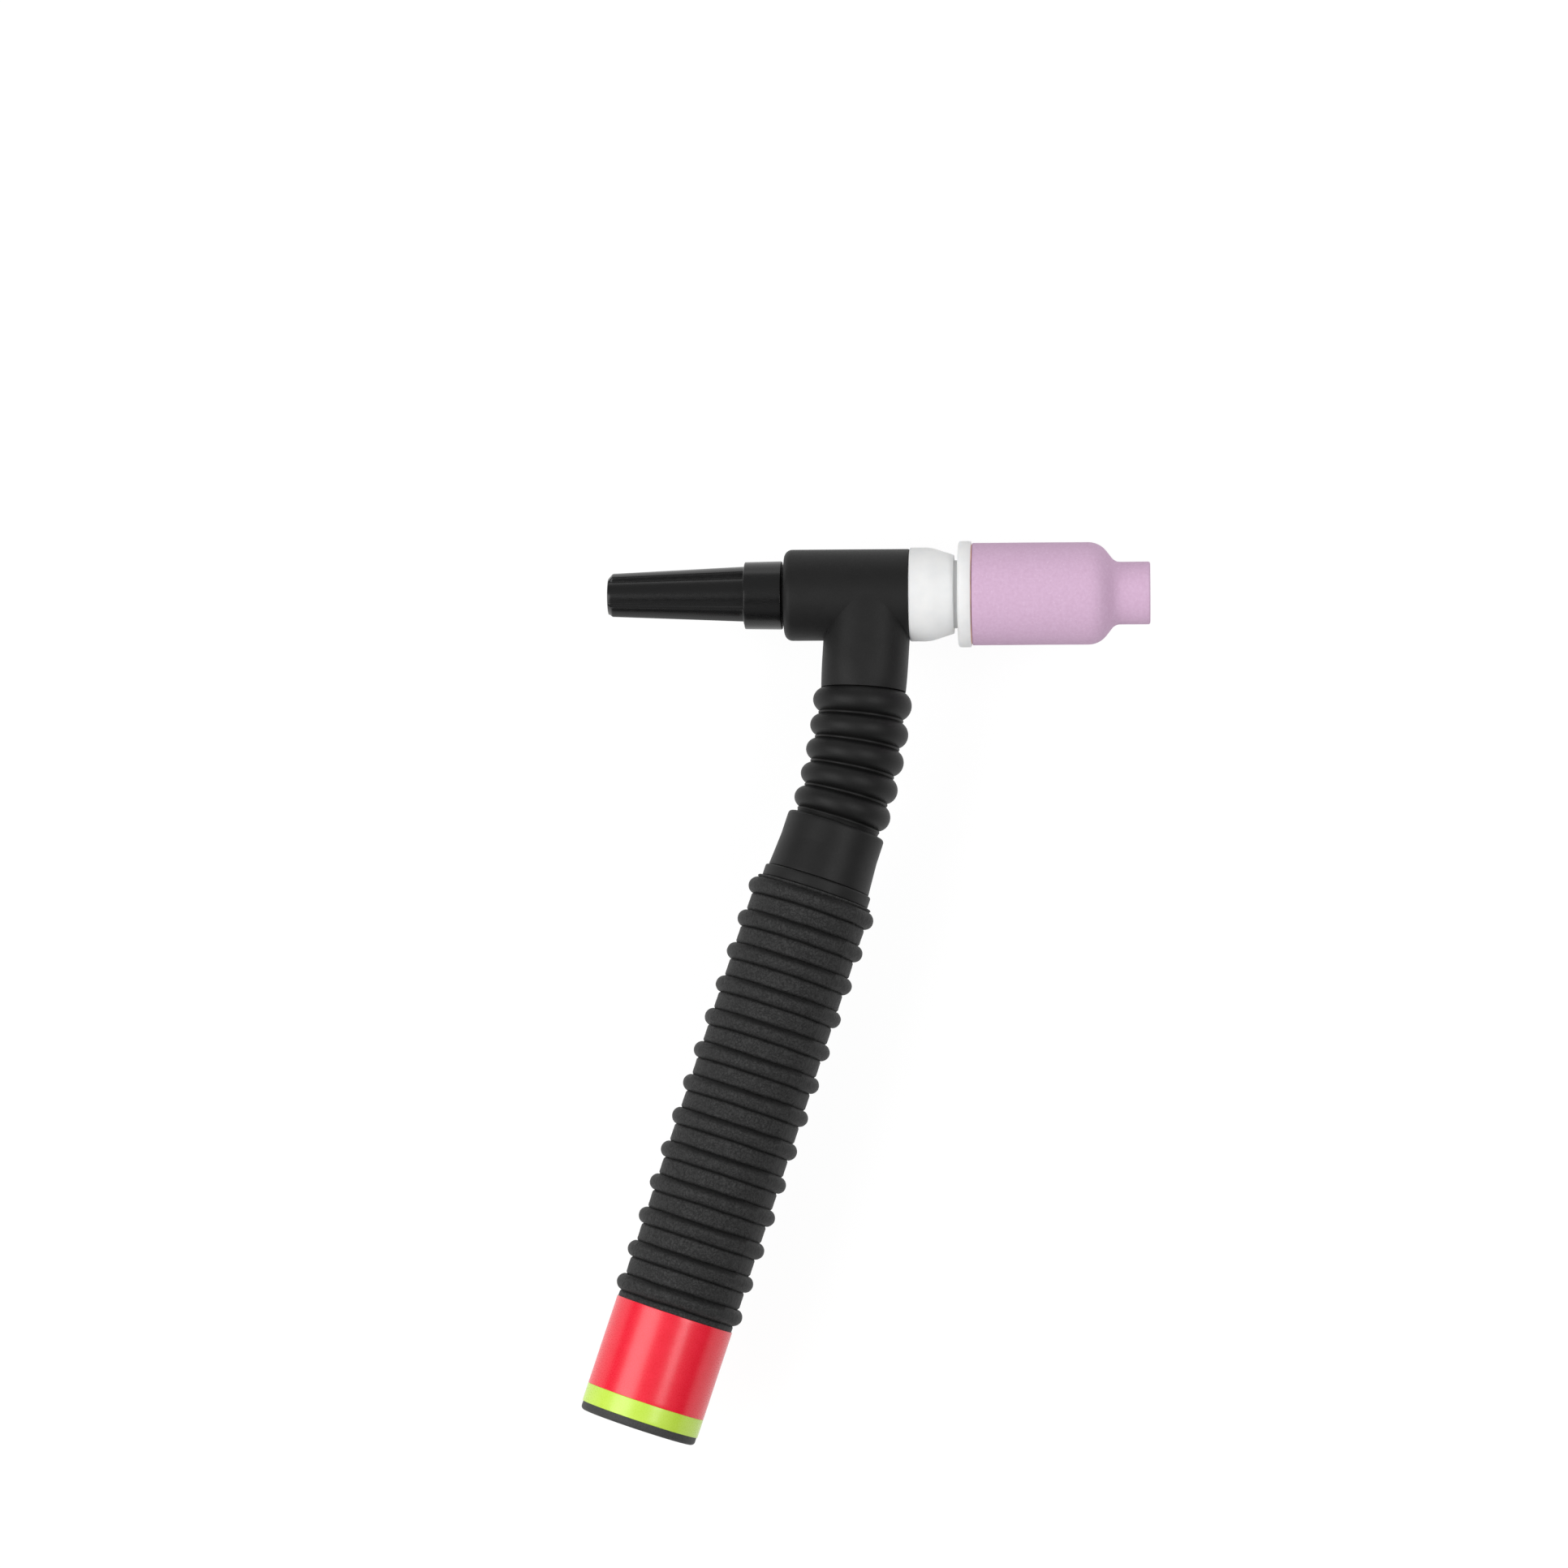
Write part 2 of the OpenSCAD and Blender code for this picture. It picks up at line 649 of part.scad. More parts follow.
module cable_connector() {
  color("#c9a557") on_handle() difference() {
    union() {
      rod(connector_d / 2, connector_inset, hex_end - hex_len);
      translate([0, 0, hex_end - hex_len])
        cylinder(d = hex_width / cos(30), h = hex_len, $fn = 6);
      rod(cable_thread_d / 2, hex_end - hex_len, cable_thread_end);
    }
    rod(tube_d / 2 + fit_gap, connector_inset - cut, connector_inset + connector_socket);
    rod(passage_d / 2, connector_inset, cable_thread_end + cut);
  }
}

module handle_sleeve() {
  bore_r = sleeve_bore_d / 2;
  rim_r = collar_d / 2 - collar_edge_r;
  outlet_front = grip_end - outlet_len;
  color("#2a2a2c") on_handle() rotate_extrude() polygon(concat(
    [[bore_r, collar_front]],
    edge(rim_r, collar_front + collar_edge_r, collar_edge_r, -90, 0),
    edge(rim_r, grip_front - collar_edge_r, collar_edge_r, 0, 90),
    [[sleeve_d / 2, grip_front],
     [sleeve_d / 2, grip_end],
     [outlet_d / 2, grip_end],
     [outlet_d / 2, outlet_front],
     [bore_r, outlet_front]]));
}

module grip_outline() {
  rim_r = grip_d / 2 - grip_edge_r;
  polygon(concat(
    [[0, grip_front]],
    edge(rim_r, grip_front + grip_edge_r, grip_edge_r, -90, 0),
    edge(rim_r, grip_end - grip_edge_r, grip_edge_r, 0, 90),
    [[0, grip_end]]));
  for (i = [0:grip_ribs - 1])
    translate([grip_rib_d / 2 - rib_arc_r, grip_front + first_rib + i * rib_pitch])
      circle(r = rib_arc_r);
}

module handle_grip() {
  color("#29292b") on_handle() rotate_extrude() difference() {
    grip_outline();
    translate([-grip_d, grip_front - cut])
      square([grip_d + sleeve_d / 2 + fit_gap, grip_len + 2 * cut]);
    translate([label_seat_r, label_front])
      square([grip_d, label_len + stripe_len]);
  }
}

module label_band() {
  color("#e8283a") on_handle()
    ring(label_d / 2, label_seat_r + fit_gap, label_front, label_end);
}

module label_stripe() {
  color("#c3eb55") on_handle()
    ring(label_d / 2, label_seat_r + fit_gap, label_end, stripe_end);
}

back_cap();
back_cap_stud();
back_cap_o_ring();
head_jacket();
head_core();
front_insulator();
gas_lens_insulator();
gas_lens_body();
gas_lens_screens();
gas_lens_snap_ring();
collet();
tungsten_electrode();
ceramic_nozzle();
neck_tube();
neck_bellows();
neck_cuff();
cable_connector();
handle_sleeve();
handle_grip();
label_band();
label_stripe();
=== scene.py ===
"""Looks of an air-cooled TIG torch: finished pieces and materials around its fixed frame.

Lengths are in metres. The torch lies on its side: the head runs along X with the nozzle towards +X,
the handle runs towards -Y and +Z is up, towards the camera.
"""

import json
import math

import bmesh
import bpy
from mathutils import Matrix, Vector, noise


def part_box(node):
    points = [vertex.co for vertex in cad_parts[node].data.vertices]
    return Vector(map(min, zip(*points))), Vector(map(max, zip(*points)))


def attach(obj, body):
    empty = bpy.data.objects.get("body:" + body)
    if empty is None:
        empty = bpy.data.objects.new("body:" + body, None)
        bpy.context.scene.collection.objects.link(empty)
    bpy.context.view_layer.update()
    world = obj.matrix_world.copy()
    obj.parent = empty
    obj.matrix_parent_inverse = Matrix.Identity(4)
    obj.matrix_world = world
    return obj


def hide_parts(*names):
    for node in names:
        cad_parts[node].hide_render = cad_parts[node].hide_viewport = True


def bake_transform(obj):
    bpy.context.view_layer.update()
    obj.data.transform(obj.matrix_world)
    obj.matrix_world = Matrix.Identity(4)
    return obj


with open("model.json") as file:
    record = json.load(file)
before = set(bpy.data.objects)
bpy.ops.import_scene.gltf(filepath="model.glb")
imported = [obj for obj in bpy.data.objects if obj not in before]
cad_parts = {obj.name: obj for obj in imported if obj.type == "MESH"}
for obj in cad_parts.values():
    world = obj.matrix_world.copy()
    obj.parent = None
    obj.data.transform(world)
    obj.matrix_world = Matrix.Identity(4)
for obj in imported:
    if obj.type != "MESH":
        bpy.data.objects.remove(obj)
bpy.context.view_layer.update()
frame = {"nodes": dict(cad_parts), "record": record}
nodes = frame["nodes"]
MM = 0.001
UP = Vector((0, 0, 1))
TURN = 2 * math.pi

# Places along the head axis, read from the frame as x
CAP_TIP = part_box("back_cap")[0].x
CAP_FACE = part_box("back_cap")[1].x
HEAD_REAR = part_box("head_jacket")[0].x
HEAD_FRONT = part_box("front_insulator")[0].x
INSULATOR_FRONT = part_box("front_insulator")[1].x
BOSS_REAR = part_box("gas_lens_insulator")[0].x
FLANGE_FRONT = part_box("gas_lens_insulator")[1].x
LENS_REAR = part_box("gas_lens_body")[0].x
LENS_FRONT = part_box("gas_lens_body")[1].x
NOZZLE_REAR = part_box("ceramic_nozzle")[0].x
NOZZLE_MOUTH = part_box("ceramic_nozzle")[1].x
STUD_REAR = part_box("back_cap_stud")[0].x
STUD_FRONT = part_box("back_cap_stud")[1].x
HEAD_POINT = (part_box("ceramic_nozzle")[0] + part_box("ceramic_nozzle")[1]) / 2
HEAD_POINT.x = 0

# Places along the handle's axis, counted from the cuff's upper edge
CUFF_LEN = 13.9 * MM
COLLAR_END = CUFF_LEN + 2.9 * MM
GRIP_END = COLLAR_END + 132 * MM
STRIPE_END = GRIP_END - 2 * MM
LABEL_END = STRIPE_END - 4.4 * MM
LABEL_FRONT = LABEL_END - 21.4 * MM
GRIP_RIBS = 13
RIB_HALF = 1.95 * MM
FIRST_RIB = COLLAR_END + 2.7 * MM
RIB_PITCH = (LABEL_FRONT - 3.5 * MM - FIRST_RIB) / (GRIP_RIBS - 1)
OUTLET = next(m for m in frame["record"]["mounts"] if m["name"] == "cable_outlet")
HANDLE_DIR = Vector(OUTLET["axis"]).normalized()
OUTLET_LEN = OUTLET["dims"]["length_mm"] * MM
OUTLET_R = OUTLET["dims"]["r_mm"] * MM
HANDLE_TOP = Vector(OUTLET["pos_m"]) - HANDLE_DIR * (GRIP_END - OUTLET_LEN / 2)
CONNECTION = next(m for m in frame["record"]["mounts"] if m["name"] == "cable_connection")

# The neck: straight through the stub, an arc, then straight into the handle
STUB_LEN = 21.8 * MM
STUB_OVER = 1.1 * MM
STUB_END = STUB_LEN + STUB_OVER
NECK_LEN = 33.6 * MM
STUB_LEAN = math.radians(3.5)
HANDLE_LEAN = math.atan2(-HANDLE_DIR.x, -HANDLE_DIR.y)
NECK_RADIUS = NECK_LEN / (HANDLE_LEAN - STUB_LEAN)


def along(lean):
    """Direction down the neck where it leans by an angle from -Y."""
    return Vector((-math.sin(lean), -math.cos(lean), 0))


def neck_lean(s):
    """Lean of the neck at a distance s from the end of the stub."""
    return STUB_LEAN + (HANDLE_LEAN - STUB_LEAN) * min(max(s / NECK_LEN, 0), 1)


def neck_point(s):
    """Point of the neck's axis at a distance s from the end of the stub."""
    on_arc = min(max(s, 0), NECK_LEN)
    turned = neck_lean(s)
    across = math.cos(turned) - math.cos(HANDLE_LEAN)
    up_neck = math.sin(HANDLE_LEAN) - math.sin(turned)
    return HANDLE_TOP + NECK_RADIUS * Vector((across, up_neck, 0)) + (s - on_arc) * along(turned)


def axis_frame(origin, direction):
    """Matrix with Z along a level direction and Y up, so that an angle of a quarter turn faces up."""
    z = Vector(direction).normalized()
    x = UP.cross(z)
    matrix = Matrix((x, UP, z)).transposed().to_4x4()
    matrix.translation = origin
    return matrix


HEAD = axis_frame(HEAD_POINT, (1, 0, 0))
HANDLE = axis_frame(HANDLE_TOP, HANDLE_DIR)


def on_head(z):
    """Place on the head's axis."""
    return HEAD @ Matrix.Translation((0, 0, z))


def on_handle(z):
    """Place on the handle's axis, counted from the cuff's upper edge."""
    return HANDLE @ Matrix.Translation((0, 0, z))


def on_neck(z):
    """Place on the neck's axis, counted from the end of the stub."""
    return axis_frame(neck_point(z), along(neck_lean(z)))


# Mesh helpers
ARC_STEPS = 6
SHARP = math.radians(38)
THREAD_PITCH = 1.058 * MM
THREAD_DEPTH = 0.5 * MM


def smooth(t):
    """An even rise from 0 to 1, soft at both ends."""
    t = min(max(t, 0), 1)
    return t * t * (3 - 2 * t)


def arc(centre, start, end):
    """Points of the shorter arc round a centre, from start to end."""
    first = math.atan2(start.y - centre.y, start.x - centre.x)
    sweep = math.atan2(end.y - centre.y, end.x - centre.x) - first
    sweep = (sweep + math.pi) % TURN - math.pi
    radius = (start - centre).length
    angles = [first + sweep * k / ARC_STEPS for k in range(ARC_STEPS + 1)]
    return [centre + radius * Vector((math.cos(a), math.sin(a))) for a in angles]


def outline(corners):
    """Points (r, z) of a closed outline through corners (r, z) or (r, z, rounding)."""
    points = []
    for i, corner in enumerate(corners):
        here = Vector(corner[:2])
        if len(corner) == 2:
            points.append(here)
            continue
        back = Vector(corners[i - 1][:2]) - here
        ahead = Vector(corners[(i + 1) % len(corners)][:2]) - here
        half = back.angle(ahead) / 2
        reach = min(corner[2] / math.tan(half), back.length / 2, ahead.length / 2)
        middle = (back.normalized() + ahead.normalized()).normalized() * reach / math.cos(half)
        points += arc(here + middle, here + back.normalized() * reach, here + ahead.normalized() * reach)
    return points


def divided(points, step, closed=True):
    """The outline with no stretch longer than a step; one that isn't closed ends at its last point."""
    result = []
    for i, here in enumerate(points):
        ahead = points[(i + 1) % len(points)]
        last = not closed and i == len(points) - 1
        count = 1 if last else max(1, math.ceil((ahead - here).length / step))
        result += [here.lerp(ahead, k / count) for k in range(count)]
    return result


def mesh_object(name, bm):
    """Turns a bmesh into a smooth-shaded object with its hard edges marked."""
    bmesh.ops.recalc_face_normals(bm, faces=bm.faces)
    for face in bm.faces:
        face.smooth = True
    for edge in bm.edges:
        edge.smooth = len(edge.link_faces) == 2 and edge.calc_face_angle(0) < SHARP
    mesh = bpy.data.meshes.new(name)
    bm.to_mesh(mesh)
    bm.free()
    piece = bpy.data.objects.new(name, mesh)
    bpy.context.scene.collection.objects.link(piece)
    return piece


def lathe(name, points, place, sides=128, relief=None, drift=None):
    """A body turned from an outline of points (r, z) about the Z axis of place(z).

    relief(r, z, angle) gives the radius there in place of r, and drift(z, angle) a shift along the axis.
    """
    bm = bmesh.new()
    rings = []
    for r, z in points:
        matrix = place(z)
        ring = []
        for i in range(sides):
            angle = TURN * i / sides
            radius = relief(r, z, angle) if relief else r
            shift = drift(z, angle) if drift else 0
            spot = Vector((radius * math.cos(angle), radius * math.sin(angle), shift))
            ring.append(bm.verts.new(matrix @ spot))
        rings.append(ring)
    for j, ring in enumerate(rings):
        following = rings[(j + 1) % len(rings)]
        if points[j][0] == 0 and points[(j + 1) % len(points)][0] == 0:
            continue
        for i in range(sides):
            k = (i + 1) % sides
            bm.faces.new((ring[i], ring[k], following[k], following[i]))
    bmesh.ops.remove_doubles(bm, verts=bm.verts, dist=0.0001 * MM)
    return mesh_object(name, bm)


def rod(r, start, end):
    """Outline of a plain rod, for cutting holes."""
    return [Vector(spot) for spot in ((0, start), (r, start), (r, end), (0, end))]


def unevenness(size, height):
    """Relief of soft waves, size across and height high, for moulded surfaces."""
    def wave(r, z, angle):
        place = Vector((r * math.cos(angle), r * math.sin(angle), z)) / size
        return r + height * noise.noise(place)
    return wave


def screw_thread(from_z, to_z, crest_r, pitch, depth):
    """Relief of a screw thread cut into the cylinder of radius crest_r between two places."""
    def thread(r, z, angle):
        if abs(r - crest_r) > depth / 2 or not from_z < z < to_z:
            return r
        phase = (z / pitch - angle / TURN) % 1
        fade = smooth(min(z - from_z, to_z - z) / pitch)
        return r - depth * fade * (1 - smooth(abs(2 * phase - 1) * 1.5 - 0.25))
    return thread


# Material helpers
def add_node(tree, kind, inputs=None, **settings):
    """A node with its settings, and its inputs set to a value or linked to a socket."""
    node = tree.nodes.new(kind)
    for key, value in settings.items():
        setattr(node, key, value)
    for key, value in (inputs or {}).items():
        if isinstance(value, bpy.types.NodeSocket):
            tree.links.new(value, node.inputs[key])
        else:
            node.inputs[key].default_value = value
    return node


def new_material(name, **sockets):
    """A principled material; its sockets are given as words joined by underscores."""
    material = bpy.data.materials.new(name)
    material.use_nodes = True
    shader = material.node_tree.nodes["Principled BSDF"]
    names = {socket.name.lower().replace(" ", "_"): socket.name for socket in shader.inputs}
    for key, value in sockets.items():
        shader.inputs[names[key]].default_value = value
    return material, material.node_tree, shader


def place_on(tree, stretch=(1, 1, 1)):
    """Object coordinates, stretched along the axes."""
    coords = add_node(tree, "ShaderNodeTexCoord")
    inputs = {"Vector": coords.outputs["Object"], "Scale": stretch}
    return add_node(tree, "ShaderNodeMapping", inputs).outputs[0]


def place_on_handle(tree):
    """Coordinates across, above and along the handle's axis."""
    inward = HANDLE.inverted()
    coords = add_node(tree, "ShaderNodeTexCoord")
    inputs = {"Vector": coords.outputs["Object"], "Location": inward.translation,
              "Rotation": inward.to_euler()}
    return add_node(tree, "ShaderNodeMapping", inputs).outputs[0]


def specks(tree, size, detail=2.0, stretch=(1, 1, 1), place=None):
    """Noise with features about size metres across."""
    inputs = {"Vector": place or place_on(tree, stretch), "Scale": 1 / size, "Detail": detail}
    return add_node(tree, "ShaderNodeTexNoise", inputs).outputs["Fac"]


def ramp(tree, fac, stops):
    """Values or colours through stops of (place from 0 to 1, value)."""
    node = add_node(tree, "ShaderNodeValToRGB", {"Fac": fac})
    elements = node.color_ramp.elements
    while len(elements) < len(stops):
        elements.new(0.5)
    for element, (position, value) in zip(elements, stops):
        element.position = position
        element.color = colour(value)
    return node.outputs["Color"]


def grade(tree, fac, low, high, start=0.3, end=0.7):
    """Values or colours from low to high as fac goes from start to end."""
    return ramp(tree, fac, ((start, low), (end, high)))


def step_between(tree, value, start, end):
    """0 to 1 as a length goes from start to end."""
    inputs = {"Value": value, "From Min": start, "From Max": end}
    return add_node(tree, "ShaderNodeMapRange", inputs).outputs[0]


def sum_up(tree, operation, first, second):
    """The result of a sum with two values or sockets."""
    return add_node(tree, "ShaderNodeMath", {0: first, 1: second}, operation=operation).outputs[0]


def blend_colours(tree, factor, first, second):
    """A mix of two colours, each a fixed colour or a socket."""
    node = add_node(tree, "ShaderNodeMix", {0: factor, 6: first, 7: second}, data_type="RGBA")
    return node.outputs[2]


def colour(value):
    """A colour with alpha from a grey level or three levels."""
    levels = (value,) * 3 if isinstance(value, (int, float)) else value
    return (*levels, 1)


def bump(tree, height, depth, under=None):
    """Normals of a relief depth metres high."""
    inputs = {"Height": height, "Distance": depth, "Strength": 1.0}
    if under:
        inputs["Normal"] = under
    return add_node(tree, "ShaderNodeBump", inputs).outputs["Normal"]


def moulded_rubber(name, dark, light, roughness, fine, depth):
    """Matt rubber with a sandblasted skin."""
    material, tree, shader = new_material(name, specular_ior_level=0.3)
    skin = specks(tree, fine, 3)
    tree.links.new(grade(tree, specks(tree, 4 * MM), dark, light), shader.inputs["Base Color"])
    tree.links.new(grade(tree, skin, roughness - 0.06, roughness + 0.08), shader.inputs["Roughness"])
    tree.links.new(bump(tree, skin, depth), shader.inputs["Normal"])
    return material


def clear_of(tree, value, line, start, end):
    """0 to 1 as a length's distance from a line goes from start to end."""
    off_line = sum_up(tree, "ABSOLUTE", sum_up(tree, "SUBTRACT", value, line), 0)
    return step_between(tree, off_line, start, end)


def wrinkles(tree, size, place):
    """0 along thin winding lines about size metres apart, 1 between them."""
    off = sum_up(tree, "SUBTRACT", specks(tree, size, 1.0, place=place), 0.5)
    return grade(tree, sum_up(tree, "ABSOLUTE", off, 0), 0.0, 1.0, 0, 0.05)


def grained_rubber(name):
    """Rubber with a leather-like moulded grain and painted shade in the creases beside the ribs, plainer
    along the mould's joint.
    """
    strip_right = 11.3 * MM
    strip_left = -12.9 * MM
    strip_edge = 0.25 * MM
    lip = 0.7 * MM
    lip_edge = 0.3 * lip
    tail_edge = 0.01 * MM
    head_crease = 0.35 * MM - RIB_HALF
    tail_crease = RIB_HALF
    material, tree, shader = new_material(name, specular_ior_level=0.22)
    place = place_on_handle(tree)
    split = add_node(tree, "ShaderNodeSeparateXYZ", {0: place}).outputs

    # The plain places: two strips along the mould's joint, the tail and the lip at the collar
    right_strip = step_between(tree, split["X"], strip_right, strip_right + strip_edge)
    left_strip = step_between(tree, split["X"], strip_left, strip_left - strip_edge)
    tail = step_between(tree, split["Z"], STRIPE_END - tail_edge, STRIPE_END)
    rim = step_between(tree, split["Z"], COLLAR_END + lip + lip_edge, COLLAR_END + lip)
    strips = sum_up(tree, "MAXIMUM", right_strip, left_strip)
    plain = sum_up(tree, "MAXIMUM", strips, sum_up(tree, "MAXIMUM", tail, rim))

    # The grain: winding folds over pebbles, and streaks along the joint
    folds = sum_up(tree, "MULTIPLY", wrinkles(tree, 1.3 * MM, place), wrinkles(tree, 0.75 * MM, place))
    pebbles = specks(tree, 0.5 * MM, 3, place=place)
    fine = specks(tree, 0.2 * MM, 3, place=place)
    drawn = add_node(tree, "ShaderNodeMapping", {"Vector": place, "Scale": (1, 1, 0.15)})
    streaks = specks(tree, 0.3 * MM, 3, place=drawn.outputs[0])

    # Painted shade: darker colour in the creases beside the ribs, wider on the head side of each rib
    past_rib = sum_up(tree, "SUBTRACT", split["Z"], FIRST_RIB)
    off_rib = add_node(tree, "ShaderNodeMath", {0: past_rib, 1: RIB_PITCH / 2, 2: -RIB_PITCH / 2},
                       operation="WRAP").outputs[0]
    off_head_crease = clear_of(tree, off_rib, head_crease, 0.3 * MM, 1.05 * MM)
    off_tail_crease = clear_of(tree, off_rib, tail_crease, 0.1 * MM, 0.55 * MM)
    clear_of_crease_shade = sum_up(tree, "MINIMUM", off_head_crease, off_tail_crease)

    worn = sum_up(tree, "MULTIPLY", grade(tree, folds, 0.48, 1.0, 0, 1), grade(tree, pebbles, 0.5, 1.0))
    # Painted shade: near the creases the same grain is given a darker colour
    leather = blend_colours(tree, clear_of_crease_shade, grade(tree, worn, 0.002, 0.014, 0.1, 1.0),
                            grade(tree, worn, 0.003, 0.042, 0.1, 1.0))
    joint = blend_colours(tree, tail, grade(tree, streaks, 0.01, 0.04), grade(tree, fine, 0.035, 0.075))
    tree.links.new(blend_colours(tree, plain, leather, joint), shader.inputs["Base Color"])
    tree.links.new(grade(tree, fine, 0.5, 0.75), shader.inputs["Roughness"])
    eased = sum_up(tree, "MAXIMUM", folds, plain)
    relief = bump(tree, pebbles, 0.07 * MM, bump(tree, eased, 0.06 * MM))
    tree.links.new(bump(tree, fine, 0.02 * MM, relief), shader.inputs["Normal"])
    return material


def gloss_phenolic(name):
    """Black phenolic with a moulded gloss and faint handling marks."""
    material, tree, shader = new_material(name, base_color=colour((0.0022, 0.0022, 0.0024)),
                                          specular_ior_level=0.42)
    marks = specks(tree, 0.35 * MM, 4, (0.25, 1, 1))
    tree.links.new(grade(tree, marks, 0.24, 0.32, 0.35, 0.75), shader.inputs["Roughness"])
    tree.links.new(bump(tree, specks(tree, 1.2 * MM), 0.003 * MM), shader.inputs["Normal"])
    return material


def turned_insulator(name):
    """White fluoropolymer, slightly translucent, with faint turning lines."""
    material, tree, shader = new_material(
        name, specular_ior_level=0.35, subsurface_weight=0.7, subsurface_radius=(1.0, 0.95, 0.9),
        subsurface_scale=2.4 * MM)
    lines = specks(tree, 0.3 * MM, 2, (1, 0.02, 0.02))
    cloud = specks(tree, 3 * MM, 3)
    white = grade(tree, cloud, (0.86, 0.865, 0.865), (0.9, 0.9, 0.895))
    tree.links.new(white, shader.inputs["Base Color"])
    tree.links.new(grade(tree, lines, 0.42, 0.55), shader.inputs["Roughness"])
    tree.links.new(bump(tree, lines, 0.012 * MM), shader.inputs["Normal"])
    return material


def pressed_ceramic(name):
    """Unglazed pink alumina with a fine mottle."""
    material, tree, shader = new_material(name, specular_ior_level=0.3)
    fine = specks(tree, 0.16 * MM, 3)
    pits = specks(tree, 0.5 * MM, 4)
    body = grade(tree, specks(tree, 0.7 * MM, 5), (0.645, 0.42, 0.6), (0.715, 0.495, 0.68), 0.25, 0.75)
    pale = grade(tree, pits, 0.0, 0.55, 0.62, 0.75)
    mottle = blend_colours(tree, pale, body, colour((0.84, 0.66, 0.81)))
    tree.links.new(mottle, shader.inputs["Base Color"])
    tree.links.new(grade(tree, fine, 0.6, 0.82), shader.inputs["Roughness"])
    tree.links.new(bump(tree, fine, 0.02 * MM), shader.inputs["Normal"])
    return material


def printed_film(name, low, high):
    """Satin printed film over the grip."""
    material, tree, shader = new_material(name, specular_ior_level=0.65)
    tree.links.new(grade(tree, specks(tree, 2.5 * MM, 3), low, high), shader.inputs["Base Color"])
    tree.links.new(grade(tree, specks(tree, 0.3 * MM), 0.25, 0.31), shader.inputs["Roughness"])
    tree.links.new(bump(tree, specks(tree, 1.6 * MM, 3), 0.006 * MM), shader.inputs["Normal"])
    return material


def turned_metal(name, low, high, roughness):
    """Metal turned on the head axis, with fine rings and a little tarnish."""
    material, tree, shader = new_material(name, metallic=1.0)
    rings = specks(tree, 0.12 * MM, 2, (1, 0.03, 0.03))
    tree.links.new(grade(tree, specks(tree, 1.8 * MM, 4), low, high), shader.inputs["Base Color"])
    tree.links.new(grade(tree, rings, roughness - 0.08, roughness + 0.12), shader.inputs["Roughness"])
    tree.links.new(bump(tree, rings, 0.008 * MM), shader.inputs["Normal"])
    return material


def wire_mesh(name):
    """Fine woven wire, as crossing bands across the head axis."""
    material, tree, shader = new_material(name, metallic=1.0)
    wire_pitch = 0.45 * MM
    inputs = {"Vector": place_on(tree), "Scale": 0.5 / wire_pitch, "Distortion": 0.4}
    waves = [add_node(tree, "ShaderNodeTexWave", inputs, bands_direction=axis).outputs["Fac"]
             for axis in ("Y", "Z")]
    weave = sum_up(tree, "MAXIMUM", waves[0], waves[1])
    # The gaps between the wires are painted near-black, as painted shade in the holes
    tree.links.new(grade(tree, weave, 0.02, (0.6, 0.57, 0.52), 0.45, 0.75), shader.inputs["Base Color"])
    tree.links.new(grade(tree, weave, 0.7, 0.32), shader.inputs["Roughness"])
    tree.links.new(bump(tree, weave, 0.12 * MM), shader.inputs["Normal"])
    return material


LOOKS = {
    "cap_phenolic": gloss_phenolic("cap_phenolic"),
    "brass": turned_metal("brass", (0.62, 0.42, 0.17), (0.78, 0.58, 0.28), roughness=0.3),
    "seal_rubber": moulded_rubber("seal_rubber", dark=0.006, light=0.012, roughness=0.45,
                                  fine=0.2 * MM, depth=0.01 * MM),
    "head_rubber": moulded_rubber("head_rubber", dark=0.0045, light=0.0065, roughness=0.55,
                                  fine=0.16 * MM, depth=0.03 * MM),
    "white_insulator": turned_insulator("white_insulator"),
    "copper_alloy": turned_metal("copper_alloy", (0.68, 0.33, 0.17), (0.85, 0.48, 0.28), roughness=0.34),
    "screen_steel": wire_mesh("screen_steel"),
    "tungsten": turned_metal("tungsten", (0.26, 0.27, 0.29), (0.36, 0.37, 0.39), roughness=0.36),
    "pink_ceramic": pressed_ceramic("pink_ceramic"),
    "neck_rubber": moulded_rubber("neck_rubber", dark=0.003, light=0.005, roughness=0.52,
                                  fine=0.18 * MM, depth=0.02 * MM),
    "sleeve_plastic": moulded_rubber("sleeve_plastic", dark=0.005, light=0.007, roughness=0.55,
                                     fine=0.2 * MM, depth=0.012 * MM),
    "grip_rubber": grained_rubber("grip_rubber"),
    "label_red": printed_film("label_red", (0.84, 0.004, 0.026), (0.88, 0.008, 0.034)),
    "label_lime": printed_film("label_lime", (0.54, 0.79, 0.06), (0.58, 0.82, 0.08)),
}


def dress(piece, slot, node, body=None):
    """Gives a piece its slot's look, the body that it rides on and the node that it stands for."""
    piece.data.materials.append(LOOKS[slot])
    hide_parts(node)
    if body:
        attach(piece, body)
    return piece


# Back cap
CAP_SEAT = CAP_FACE - 1 * MM


